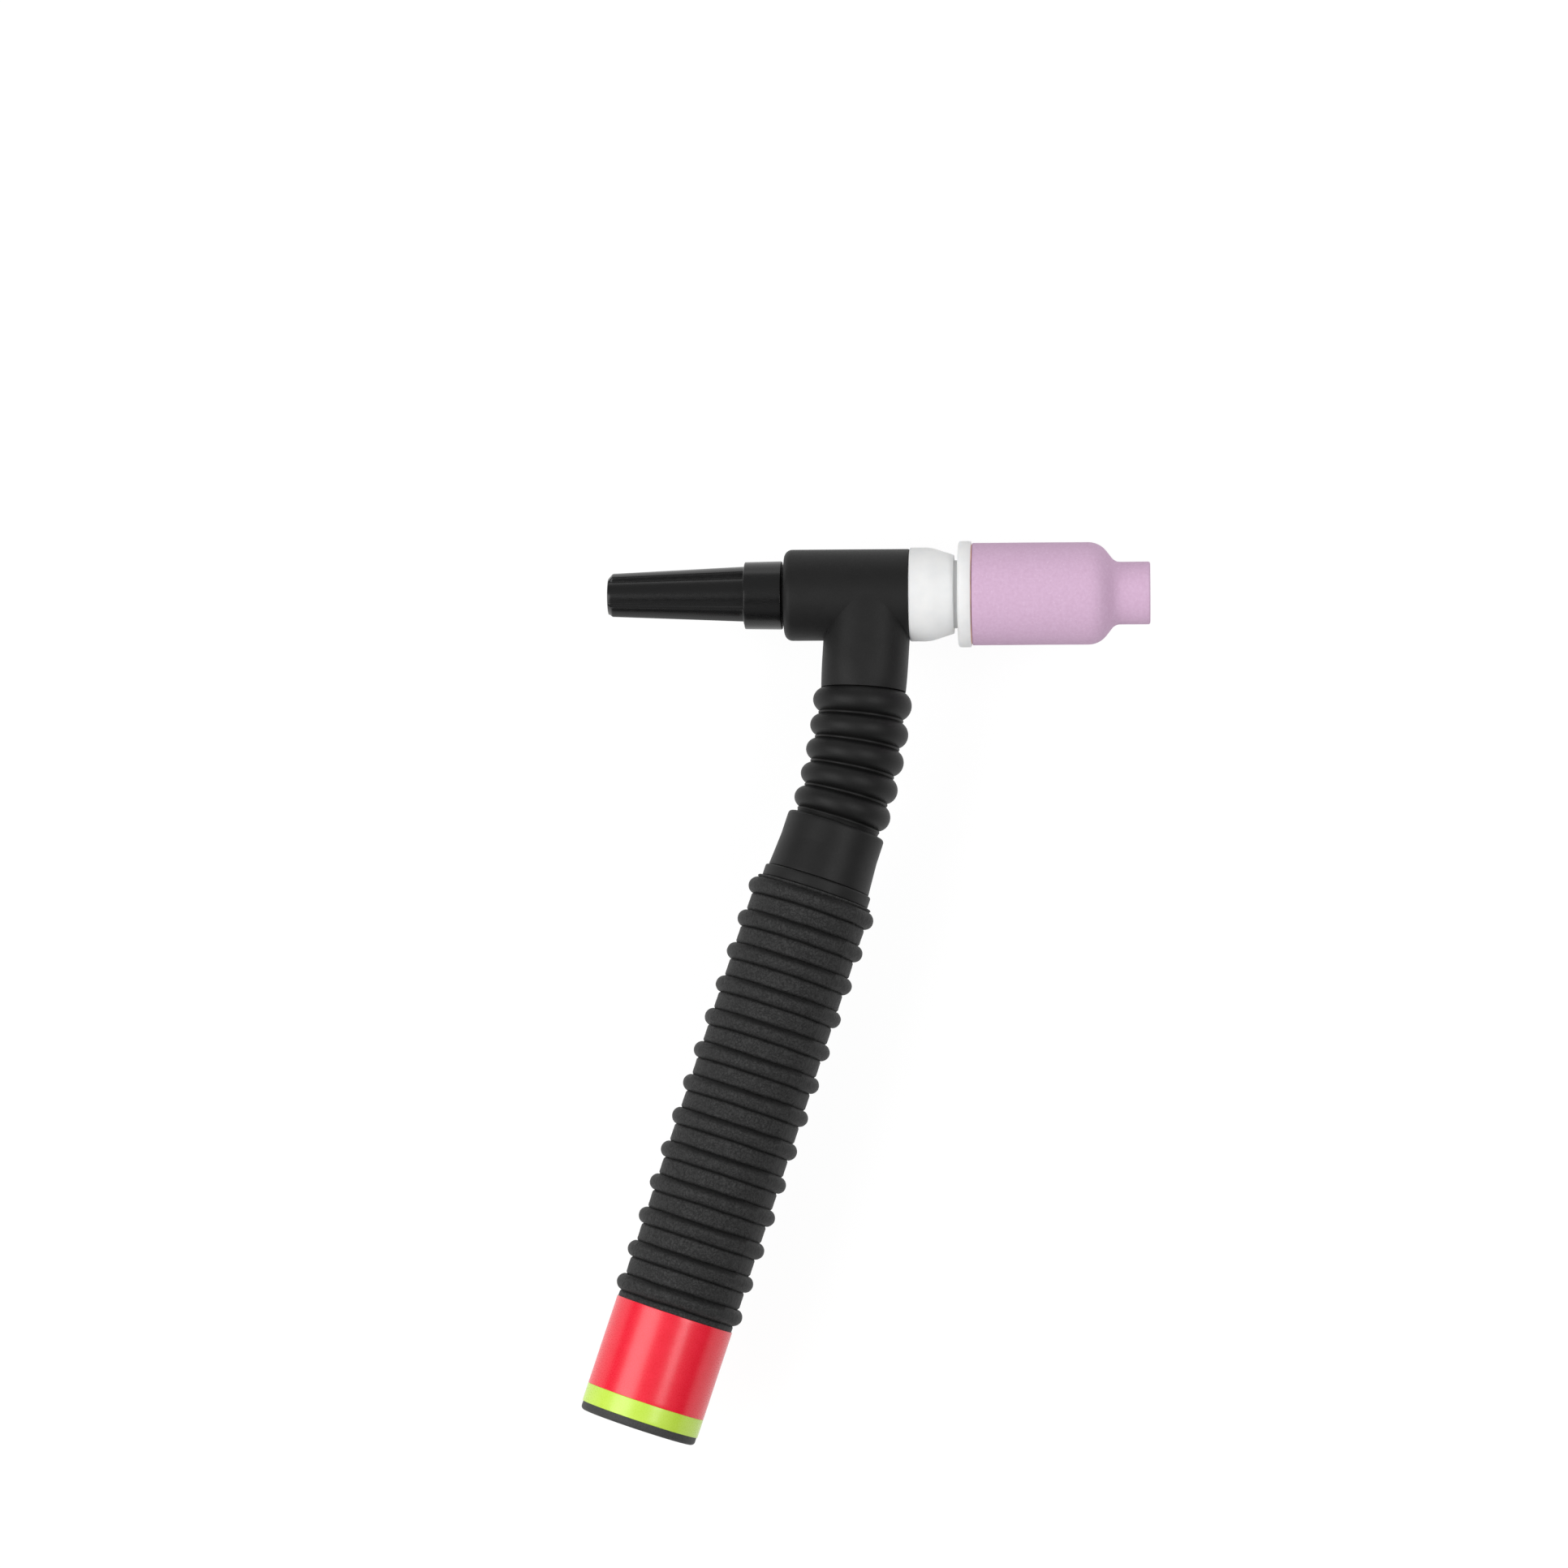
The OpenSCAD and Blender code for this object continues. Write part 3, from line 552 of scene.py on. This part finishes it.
def back_cap():
    """The cap, with its finger ribs along a tapered core."""
    ribs = 3
    rib_half = math.radians(16)
    flank = math.radians(9)
    first_rib = math.radians(24)
    root_r = 6.9 * MM
    rib_tip_r = 5.42 * MM
    core_root_r = 5.5 * MM
    core_tip_r = 4.37 * MM
    tip_r = 4.2 * MM
    collar_rear_r = 7.95 * MM
    collar_r = 8.1 * MM
    bore_r = 2 * MM
    step = CAP_FACE - 8.9 * MM
    rib_end = CAP_TIP + 1.1 * MM
    bore_end = CAP_TIP + 4 * MM
    seat_r = 7.32 * MM
    stud_r = 4.55 * MM

    def core_r(z):
        return core_tip_r + (core_root_r - core_tip_r) * (z - CAP_TIP) / (step - CAP_TIP)

    points = outline([
        (0, CAP_TIP), (tip_r, CAP_TIP, 0.3 * MM), (rib_tip_r, rib_end, 0.6 * MM),
        (root_r, step, 0.4 * MM), (collar_rear_r, step, 0.25 * MM), (collar_r, CAP_FACE, 0.3 * MM),
        (seat_r, CAP_FACE, 0.15 * MM), (seat_r, CAP_SEAT), (stud_r, CAP_SEAT), (stud_r, STUD_REAR),
        (bore_r, STUD_REAR), (bore_r, bore_end), (0, bore_end)])

    def ribbed(r, z, angle):
        if r > root_r or not CAP_TIP < z <= step or r <= core_r(z):
            return r
        turned = (angle - first_rib) % (TURN / ribs)
        off_rib = min(turned, TURN / ribs - turned)
        return r - (r - core_r(z)) * smooth((off_rib - rib_half) / flank)

    return lathe("cap_body", divided(points, 0.8 * MM), on_head, 360, ribbed)


def cap_stud():
    """The cap's threaded stud."""
    thread_r = 5.5 * MM
    root_r = 4.5 * MM
    hole_r = 2 * MM
    points = outline([
        (hole_r, STUD_REAR), (root_r, STUD_REAR), (root_r, CAP_SEAT), (thread_r, CAP_SEAT),
        (thread_r, STUD_FRONT, 0.4 * MM), (hole_r, STUD_FRONT, 0.2 * MM)])
    thread = screw_thread(CAP_SEAT, STUD_FRONT, thread_r, THREAD_PITCH, THREAD_DEPTH)
    return lathe("cap_thread", divided(points, 0.13 * MM), on_head, 96, thread)


dress(back_cap(), "cap_phenolic", "back_cap", "back_cap")
dress(cap_stud(), "brass", "back_cap_stud", "back_cap")


# Rubber jacket of the head, a barrel and a stub that meet in a crease
HEAD_R = 10.8 * MM
STUB_DIR = along(STUB_LEAN)
HEAD_CENTRE = neck_point(-STUB_LEN)
STUB = axis_frame(HEAD_CENTRE, STUB_DIR)


def on_stub(z):
    """Place on the stub's axis, counted from the head's axis."""
    return STUB @ Matrix.Translation((0, 0, z))


def stub_r(z, angle):
    """Radius of the stub, a full oval that turns round towards its end."""
    half_width = 10.18 * MM
    half_height = 10.72 * MM
    end_r = 10.02 * MM
    fullness = 2.35
    taper_start = 16 * MM
    taper = min(max((z - taper_start) / (STUB_END - taper_start), 0), 1) ** 2
    width = half_width + (end_r - half_width) * taper
    height = half_height + (end_r - half_height) * taper
    power = fullness + (2 - fullness) * taper
    across = (abs(math.cos(angle)) / width) ** power
    upward = (abs(math.sin(angle)) / height) ** power
    return (across + upward) ** (-1 / power)


def combine(piece, tool, operation):
    """Joins a second body to a piece, or takes it away, and drops the second body."""
    modifier = piece.modifiers.new(operation, "BOOLEAN")
    modifier.operation = operation
    modifier.solver = "EXACT"
    modifier.object = tool
    whole = bpy.data.meshes.new_from_object(piece.evaluated_get(bpy.context.evaluated_depsgraph_get()))
    piece.modifiers.clear()
    piece.data = whole
    bpy.data.objects.remove(tool)


def stub_body():
    """The stub, cut flush with the front of the barrel."""
    step = 0.5 * MM
    rounding = 0.2 * MM
    gap = 0.06 * MM
    unit = MM
    points = divided(outline([(0, 0), (unit, 0), (unit, STUB_END, rounding), (0, STUB_END)]), step)
    stub = lathe("jacket_stub", points, on_stub, 240, lambda r, z, angle: r * stub_r(z, angle) / unit)
    for vert in stub.data.vertices:
        vert.co.x = min(vert.co.x, HEAD_FRONT - gap)
    return stub


def crease_edges(mesh):
    """Marks the edges where the barrel meets the stub as hard."""
    near = 0.006 * MM
    inward = STUB.inverted()
    on_both = set()
    for vert in mesh.vertices:
        spot = inward @ vert.co
        off_stub = math.hypot(spot.x, spot.y) - stub_r(spot.z, math.atan2(spot.y, spot.x))
        off_barrel = math.hypot(vert.co.y - HEAD_CENTRE.y, vert.co.z - HEAD_CENTRE.z) - HEAD_R
        if abs(off_stub) < near and abs(off_barrel) < near:
            on_both.add(vert.index)
    for edge in mesh.edges:
        if on_both.issuperset(edge.vertices):
            edge.use_edge_sharp = True


def head_jacket():
    """The barrel and the stub in one, with room for the core and its branch."""
    rear_rounding = 1.9 * MM
    front_rounding = 0.4 * MM
    core_r = 7.55 * MM
    branch_r = 6.05 * MM
    branch_start = 5 * MM
    spare = 1 * MM
    step = 0.5 * MM
    barrel = outline([
        (0, HEAD_REAR), (HEAD_R, HEAD_REAR, rear_rounding), (HEAD_R, HEAD_FRONT, front_rounding),
        (0, HEAD_FRONT)])
    core = rod(core_r, HEAD_REAR - spare, HEAD_FRONT + spare)
    branch = rod(branch_r, branch_start, STUB_END + spare)
    jacket = lathe("jacket", divided(barrel, step), on_head, 240)
    combine(jacket, stub_body(), "UNION")
    crease_edges(jacket.data)
    combine(jacket, lathe("core_space", core, on_head, 96), "DIFFERENCE")
    combine(jacket, lathe("branch_space", branch, on_stub, 96), "DIFFERENCE")
    return jacket


dress(head_jacket(), "head_rubber", "head_jacket", "head")


# White insulators, gas lens and nozzle
SHANK_R = 4.8 * MM


def front_insulator():
    """The white ring in front of the barrel, rounded in towards the gas lens."""
    rim_r = 11.1 * MM
    nose_r = 9.3 * MM
    straight = 5 * MM
    nose_rounding = 9 * MM
    seat_r = 8.1 * MM
    seat = BOSS_REAR - 0.1 * MM
    points = outline([
        (SHANK_R, HEAD_FRONT), (rim_r, HEAD_FRONT, 0.45 * MM),
        (rim_r, HEAD_FRONT + straight, nose_rounding), (nose_r, INSULATOR_FRONT, 0.25 * MM),
        (seat_r, INSULATOR_FRONT, 0.06 * MM), (seat_r, seat), (SHANK_R, seat)])
    return lathe("nose_insulator", points, on_head, 160)


def lens_insulator():
    """The white ring behind the nozzle, with its boss."""
    flange_rear = FLANGE_FRONT - 3.1 * MM
    boss_r = 8.05 * MM
    flange_r = 12.55 * MM
    points = outline([
        (SHANK_R, BOSS_REAR), (boss_r, BOSS_REAR, 0.3 * MM), (boss_r, flange_rear, 0.25 * MM),
        (flange_r, flange_rear, 0.75 * MM), (flange_r, FLANGE_FRONT, 0.3 * MM), (SHANK_R, FLANGE_FRONT)])
    return lathe("lens_insulator", points, on_head, 160)


def gas_lens_body():
    """The gas lens: shank, nozzle thread, barrel and the nose that holds the electrode."""
    shim_r = 11.75 * MM
    shim = FLANGE_FRONT + 0.14 * MM
    thread_r = 8.9 * MM
    thread_end = FLANGE_FRONT + 7 * MM
    barrel_r = 8.2 * MM
    chamber_r = 7 * MM
    floor = thread_end + 1 * MM
    nose_r = 3.2 * MM
    hole_r = 1.27 * MM
    bore_r = 2.06 * MM
    seat = LENS_FRONT - 6 * MM
    seat_len = 1 * MM
    shank_r = SHANK_R - 0.05 * MM
    pitch = 1.27 * MM
    depth = 0.55 * MM
    points = outline([
        (bore_r, LENS_REAR), (shank_r, LENS_REAR, 0.4 * MM), (shank_r, FLANGE_FRONT),
        (shim_r, FLANGE_FRONT), (shim_r, shim), (thread_r, shim), (thread_r, thread_end, 0.3 * MM),
        (barrel_r, thread_end, 0.2 * MM), (barrel_r, LENS_FRONT, 0.25 * MM),
        (chamber_r, LENS_FRONT, 0.15 * MM), (chamber_r, floor), (nose_r, floor),
        (nose_r, LENS_FRONT, 0.3 * MM), (hole_r, LENS_FRONT, 0.15 * MM), (hole_r, seat),
        (bore_r, seat - seat_len)])
    thread = screw_thread(shim, thread_end, thread_r, pitch, depth)
    return lathe("lens_body", divided(points, 0.16 * MM), on_head, 112, thread)


def nozzle():
    """The ceramic nozzle, hollow, with a rounded shoulder."""
    wide_r = 12.1 * MM
    tip_r = 7.4 * MM
    thread_r = 8.96 * MM
    bore_r = 5.6 * MM
    slope = math.radians(52)
    outer_rounding = 5.4 * MM
    inner_rounding = 2.4 * MM
    cone_rounding = 1.5 * MM
    straight = 27.4 * MM
    cone = NOZZLE_REAR + 27 * MM
    shoulder = NOZZLE_REAR + straight + outer_rounding * math.tan(slope / 2)
    neck = shoulder + (wide_r - tip_r) / math.tan(slope)
    cone_end = cone + (thread_r - bore_r) / math.tan(slope)
    points = outline([
        (thread_r, NOZZLE_REAR, 0.3 * MM), (wide_r, NOZZLE_REAR, 0.3 * MM),
        (wide_r, shoulder, outer_rounding), (tip_r, neck, inner_rounding),
        (tip_r, NOZZLE_MOUTH, 0.5 * MM), (bore_r, NOZZLE_MOUTH, 0.45 * MM),
        (bore_r, cone_end, cone_rounding), (thread_r, cone, cone_rounding)])
    return lathe("nozzle", divided(points, 1 * MM), on_head, 192, unevenness(9 * MM, 0.02 * MM))


dress(front_insulator(), "white_insulator", "front_insulator", "head")
dress(lens_insulator(), "white_insulator", "gas_lens_insulator", "head")
dress(gas_lens_body(), "copper_alloy", "gas_lens_body", "head")
dress(nozzle(), "pink_ceramic", "ceramic_nozzle", "nozzle")


# Ribbed neck and the tube in it, each in two halves split at one place
BELLOWS_RIBS = 5
BELLOWS_END = STUB_OVER
BELLOWS_PITCH = (NECK_LEN - 2 * BELLOWS_END) / BELLOWS_RIBS
NECK_SPLIT = BELLOWS_END + 2 * BELLOWS_PITCH
NECK_MIDDLE = NECK_LEN / 2
GROOVE_HALF = 0.42 * MM


def roll_span(number):
    """Start and end of one roll of the bellows along the neck; the first begins at the stub."""
    start = BELLOWS_END + number * BELLOWS_PITCH + GROOVE_HALF
    return (start if number else BELLOWS_END), start + BELLOWS_PITCH - 2 * GROOVE_HALF


def bellows_places(from_s, to_s):
    """Places of the bellows' rings, close together at the feet of the rolls."""
    steps = 14
    groove_steps = 8
    places = [from_s, to_s]
    for k in range(BELLOWS_RIBS):
        start, end = roll_span(k)
        half = (end - start) / 2
        places += [start + half - half * math.cos(math.pi * i / steps) for i in range(steps + 1)]
        places += [end + 2 * GROOVE_HALF * i / groove_steps for i in range(1, groove_steps)]
    return sorted({round(s, 7) for s in places if from_s <= s <= to_s})


def bellows_r(s):
    """Radius of the bellows at a distance s along the neck: round rolls with a low bead between them."""
    crest_r = 11.7 * MM
    groove_r = 9.9 * MM
    bead = 0.24 * MM
    number = min(max(math.floor((s - BELLOWS_END) / BELLOWS_PITCH), 0), BELLOWS_RIBS - 1)
    start, end = roll_span(number)
    rise = crest_r - groove_r
    half = (end - start) / 2
    off_crest = abs(s - start - half)
    if off_crest < half:
        arc_r = (rise ** 2 + half ** 2) / (2 * rise)
        return crest_r - arc_r + math.sqrt(arc_r ** 2 - off_crest ** 2)
    from_bead = (max(start - s, s - end) - GROOVE_HALF) / GROOVE_HALF
    return groove_r + bead * max(1 - from_bead ** 2, 0)


def neck_outline(places, outer, bore_r):
    """Closed outline of a neck piece: outer(s) down the outside and the bore back up."""
    return [(outer(s), s) for s in places] + [(bore_r, s) for s in reversed(places[::4] + places[-1:])]


def bend(piece, start, end):
    """Bakes a neck piece's place into its mesh; the neck points at start and end are worked out but not
    used, so the piece does not bend.
    """
    tuple(neck_point(start))
    tuple(neck_point(end))
    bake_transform(piece)


def even_places(from_s, to_s, step):
    """Places about a step apart along the neck."""
    count = round((to_s - from_s) / step)
    return [from_s + (to_s - from_s) * k / count for k in range(count + 1)]


def neck_pieces():
    """The bellows and the tube, an upper and a lower half of each."""
    bore_r = 7 * MM
    tube_r = 4 * MM
    tube_bore_r = 2.6 * MM
    tube_start = -12.7 * MM
    tube_end = NECK_LEN + 19.9 * MM
    tube_step = 0.8 * MM
    lap = 0.02 * MM
    waves = unevenness(6 * MM, 0.05 * MM)
    for name, from_s, to_s, first, second, start, end in (
            ("lower", NECK_SPLIT - lap, NECK_LEN, "handle", "neck", NECK_LEN, NECK_MIDDLE),
            ("upper", STUB_OVER, NECK_SPLIT, "neck", "head", NECK_SPLIT, 0)):
        rolls = neck_outline(bellows_places(from_s, to_s), bellows_r, bore_r)
        bellows = lathe("bellows_" + name, rolls, on_neck, 144, waves)
        bend(dress(bellows, "neck_rubber", "neck_bellows"), start, end)
        far_s = tube_end if to_s == NECK_LEN else to_s
        near_s = tube_start if from_s == STUB_OVER else from_s
        wall = neck_outline(even_places(near_s, far_s, tube_step), lambda s: tube_r, tube_bore_r)
        tube = lathe("tube_" + name, wall, on_neck, 48)
        bend(dress(tube, "copper_alloy", "neck_tube"), start, end)


neck_pieces()


# Cuff, connector and handle
def neck_cuff():
    """The smooth cuff under the bellows, with its spigot in the handle."""
    top_r = 11.8 * MM
    foot_r = 12.35 * MM
    cone_start = 5.9 * MM
    cone_rounding = 6 * MM
    spigot_r = 10.2 * MM
    spigot_end = CUFF_LEN + 20 * MM
    hole_r = 6.25 * MM
    points = outline([
        (hole_r, 0), (top_r, 0, 0.9 * MM), (top_r, cone_start, cone_rounding),
        (foot_r, CUFF_LEN, 0.35 * MM), (spigot_r, CUFF_LEN), (spigot_r, spigot_end, 0.5 * MM),
        (hole_r, spigot_end)])
    return lathe("cuff", divided(points, 0.8 * MM), on_handle, 144, unevenness(7 * MM, 0.05 * MM))


def cable_connector():
    """The connector in the handle: a socket for the tube, a hexagon and a thread for the cable."""
    top = 10 * MM
    socket_r = 4.05 * MM
    socket_end = top + 10 * MM
    body_r = 6.2 * MM
    passage_r = 2.5 * MM
    thread_r = CONNECTION["dims"]["r_mm"] * MM
    thread_len = CONNECTION["dims"]["length_mm"] * MM
    hex_start = CUFF_LEN + 20.1 * MM
    hex_end = hex_start + 7 * MM
    flat_r = 7 * MM
    corner_r = flat_r / math.cos(math.pi / 6)
    chamfer = 0.7 * MM
    end = hex_end + thread_len
    points = outline([
        (socket_r, top), (body_r, top, 0.3 * MM), (body_r, hex_start), (corner_r, hex_start),
        (corner_r, hex_end), (thread_r, hex_end), (thread_r, end, 0.5 * MM), (passage_r, end, 0.3 * MM),
        (passage_r, socket_end), (socket_r, socket_end)])
    thread = screw_thread(hex_end, end, thread_r, THREAD_PITCH, THREAD_DEPTH)

    def hexagon(r, z, angle):
        if r < body_r + MM or not hex_start <= z <= hex_end:
            return thread(r, z, angle)
        bevel = min(z - hex_start, hex_end - z) + flat_r + chamfer / 2
        across = (angle + math.pi / 6) % (math.pi / 3) - math.pi / 6
        return min(r, flat_r / math.cos(across), bevel)

    return lathe("connector", divided(points, 0.16 * MM), on_handle, 96, hexagon)


def handle_sleeve():
    """The stiff sleeve under the grip, with the collar that shows above it."""
    bore_r = 10.25 * MM
    collar_r = 13 * MM
    outer_r = 12 * MM
    throat = GRIP_END - OUTLET_LEN
    points = outline([
        (bore_r, CUFF_LEN), (collar_r, CUFF_LEN, 0.5 * MM), (collar_r, COLLAR_END, 0.35 * MM),
        (outer_r, COLLAR_END), (outer_r, GRIP_END, 0.3 * MM), (OUTLET_R, GRIP_END, 0.4 * MM),
        (OUTLET_R, throat, 0.4 * MM), (bore_r, throat)])
    return lathe("sleeve", points, on_handle, 144)


def handle_grip():
    """The ribbed grip, with a crease on both sides of each rib and a seat for the label."""
    base_r = 13.95 * MM
    rib_r = 15.4 * MM
    crease = 0.3 * MM
    crease_width = 0.5 * MM
    label_r = 13.65 * MM
    inner_r = 12.05 * MM
    row = 0.5 * MM
    grain = 1.2 * MM
    waves = 4 * MM
    uneven = 0.05 * MM
    wander_by = 0.18 * MM
    wander_turns = 3
    rib_apart = 7.3
    arc_r = ((rib_r - base_r) ** 2 + RIB_HALF ** 2) / (2 * (rib_r - base_r))
    steps = 12
    ends = outline([
        (inner_r, COLLAR_END, 0.2 * MM), (base_r, COLLAR_END, 0.35 * MM), (base_r, LABEL_FRONT),
        (label_r, LABEL_FRONT), (label_r, STRIPE_END), (base_r, STRIPE_END),
        (base_r, GRIP_END, 0.9 * MM), (inner_r, GRIP_END, 0.3 * MM)])
    top = next(i for i, spot in enumerate(ends) if spot.y > LABEL_FRONT - MM)
    ribbed = []
    for k in range(GRIP_RIBS):
        middle = FIRST_RIB + k * RIB_PITCH
        for i in range(steps + 1):
            z = middle - RIB_HALF * math.cos(math.pi * i / steps)
            bulge = rib_r - arc_r + math.sqrt(arc_r ** 2 - (z - middle) ** 2)
            ribbed.append(Vector((bulge, z)))
        ribbed[-steps - 1].x = base_r - crease
        ribbed[-1].x = base_r - crease
        ribbed.insert(len(ribbed) - steps - 1, Vector((base_r, middle - RIB_HALF - crease_width)))
        ribbed.append(Vector((base_r, middle + RIB_HALF + crease_width)))
    points = ends[:top] + divided(ribbed, row, closed=False) + ends[top:]

    def grained(r, z, angle):
        spot = Vector((r * math.cos(angle), r * math.sin(angle), z))
        if r < base_r - 2 * crease or z > STRIPE_END:
            return r
        rise = uneven * noise.noise(spot / grain) + uneven * noise.noise(spot / waves)
        return min(r + rise, rib_r)

    def wander(z, angle):
        if not COLLAR_END + MM < z < LABEL_FRONT - MM:
            return 0
        number = round((z - FIRST_RIB) / RIB_PITCH)
        spot = (wander_turns * math.cos(angle), wander_turns * math.sin(angle), rib_apart * number)
        return wander_by * noise.noise(Vector(spot))

    return lathe("grip", points, on_handle, 240, grained, wander)


def label(name, from_z, to_z):
    """A ring of label film round the grip."""
    outer_r = 14.15 * MM
    inner_r = 13.7 * MM
    edge = 0.12 * MM
    points = outline([
        (inner_r, from_z), (outer_r, from_z, edge), (outer_r, to_z, edge), (inner_r, to_z)])
    return lathe(name, divided(points, 1 * MM), on_handle, 192, unevenness(8 * MM, 0.025 * MM))


dress(neck_cuff(), "neck_rubber", "neck_cuff", "handle")
dress(cable_connector(), "brass", "cable_connector", "handle")
dress(handle_sleeve(), "sleeve_plastic", "handle_sleeve", "handle")
dress(handle_grip(), "grip_rubber", "handle_grip", "handle")
dress(label("label_film", LABEL_FRONT, LABEL_END), "label_red", "label_band", "handle")
dress(label("stripe_film", LABEL_END, STRIPE_END), "label_lime", "label_stripe", "handle")

# Inner pieces whose shape is already right take a finished look
for part in frame["record"]["subparts"]:
    mesh = nodes[part["node"]].data
    mesh.materials.clear()
    mesh.materials.append(LOOKS[part["material_slot"]])


# Floor, light and camera
def white_ray(tree):
    """1 for rays that look at the background: straight, mirrored or through glass."""
    path = add_node(tree, "ShaderNodeLightPath").outputs
    mirrored = add_node(tree, "ShaderNodeMath", {0: path["Is Glossy Ray"], 1: path["Is Transmission Ray"]},
                        operation="MAXIMUM")
    return add_node(tree, "ShaderNodeMath", {0: path["Is Camera Ray"], 1: mirrored.outputs[0]},
                    operation="MAXIMUM").outputs[0]


def white_floor():
    """A white floor, low enough for the head to clear it when the neck swings down."""
    drop = 14 * MM
    half = 12
    glow = 0.92
    shade = 0.12
    bounce = 0.85
    bm = bmesh.new()
    bmesh.ops.create_grid(bm, size=half)
    floor = mesh_object("floor", bm)
    floor.location.z = -drop
    material, tree, shader = new_material("floor_white", roughness=1.0, specular_ior_level=0.0,
                                          emission_color=colour(1.0))
    seen = white_ray(tree)
    tree.links.new(grade(tree, seen, bounce, shade, 0, 1), shader.inputs["Base Color"])
    strength = add_node(tree, "ShaderNodeMath", {0: seen, 1: glow}, operation="MULTIPLY")
    tree.links.new(strength.outputs[0], shader.inputs["Emission Strength"])
    floor.data.materials.append(material)


def studio_world():
    """Soft surroundings, dark low down and in a gap on the handle's side, with a white horizon."""
    world = bpy.data.worlds.new("studio")
    bpy.context.scene.world = world
    world.use_nodes = True
    tree = world.node_tree
    coords = add_node(tree, "ShaderNodeTexCoord")
    toward = add_node(tree, "ShaderNodeSeparateXYZ", {0: coords.outputs["Generated"]}).outputs
    across = step_between(tree, toward["Y"], -1, 1)
    panels = ramp(tree, across, ((0.05, 0.41), (0.19, 0.41), (0.23, 0.14), (0.33, 0.16), (0.38, 0.5),
                                 (0.8, 0.47), (1, 0.46)))
    above = sum_up(tree, "MULTIPLY", panels, grade(tree, toward["Z"], 0.1, 1.0, 0.15, 0.45))
    low_band = grade(tree, toward["Z"], 1.6, 0.0, 0.2, 0.34)
    head_band = sum_up(tree, "MULTIPLY", low_band, grade(tree, across, 0.0, 1.0, 0.9, 0.96))
    soft = sum_up(tree, "ADD", above, head_band)
    near_floor = step_between(tree, toward["Z"], 0.065, 0.055)
    horizon = sum_up(tree, "MULTIPLY", white_ray(tree), near_floor)
    shown = blend_colours(tree, horizon, soft, colour(1.0))
    tree.links.new(shown, tree.nodes["Background"].inputs["Color"])


def soft_box(name, target, tilt, width, length, brightness):
    """An area light over a place on the handle's axis, tilted sideways."""
    distance = 0.62
    place = on_handle(target)
    turned = place @ Matrix.Rotation(tilt, 4, "Z") @ Matrix.Rotation(-math.pi / 2, 4, "X")
    lamp = bpy.data.lights.new(name, "AREA")
    lamp.shape = "RECTANGLE"
    lamp.size = width
    lamp.size_y = length
    lamp.energy = brightness * math.pi * width * length
    holder = bpy.data.objects.new(name, lamp)
    holder.matrix_world = turned @ Matrix.Translation((0, 0, distance))
    bpy.context.scene.collection.objects.link(holder)


def studio_camera():
    """The photograph's view: nearly straight down, a little from the tail's and the nozzle's side."""
    frame_px = 1932
    px_per_m = 5215
    left_of_head = 20.19 * MM
    below_head = 44.93 * MM
    centre = HEAD_CENTRE - Vector((left_of_head, below_head, 0))
    distance = 1.3
    nozzle_side = math.radians(3.5)
    tail_side = math.radians(5.8)
    roll = math.radians(0.075)
    back = Vector((math.tan(nozzle_side), -math.tan(tail_side), 1)).normalized()
    camera = bpy.data.cameras.new("camera")
    camera.sensor_width = 36
    camera.lens = camera.sensor_width * distance * px_per_m / frame_px
    camera.clip_end = 40
    holder = bpy.data.objects.new("camera", camera)
    right = Vector((0, 1, 0)).cross(back).normalized()
    level = Matrix((right, back.cross(right), back)).transposed().to_4x4()
    holder.matrix_world = level @ Matrix.Rotation(roll, 4, "Z")
    holder.matrix_world.translation = centre + back * distance
    bpy.context.scene.collection.objects.link(holder)
    bpy.context.scene.camera = holder


white_floor()
studio_world()
soft_box("left_box", target=390 * MM, tilt=math.radians(38), width=0.42, length=0.8, brightness=3.2)
soft_box("right_box", target=-80 * MM, tilt=math.radians(-30), width=0.17, length=0.5, brightness=5.3)
studio_camera()
bpy.context.scene.view_settings.view_transform = "Standard"
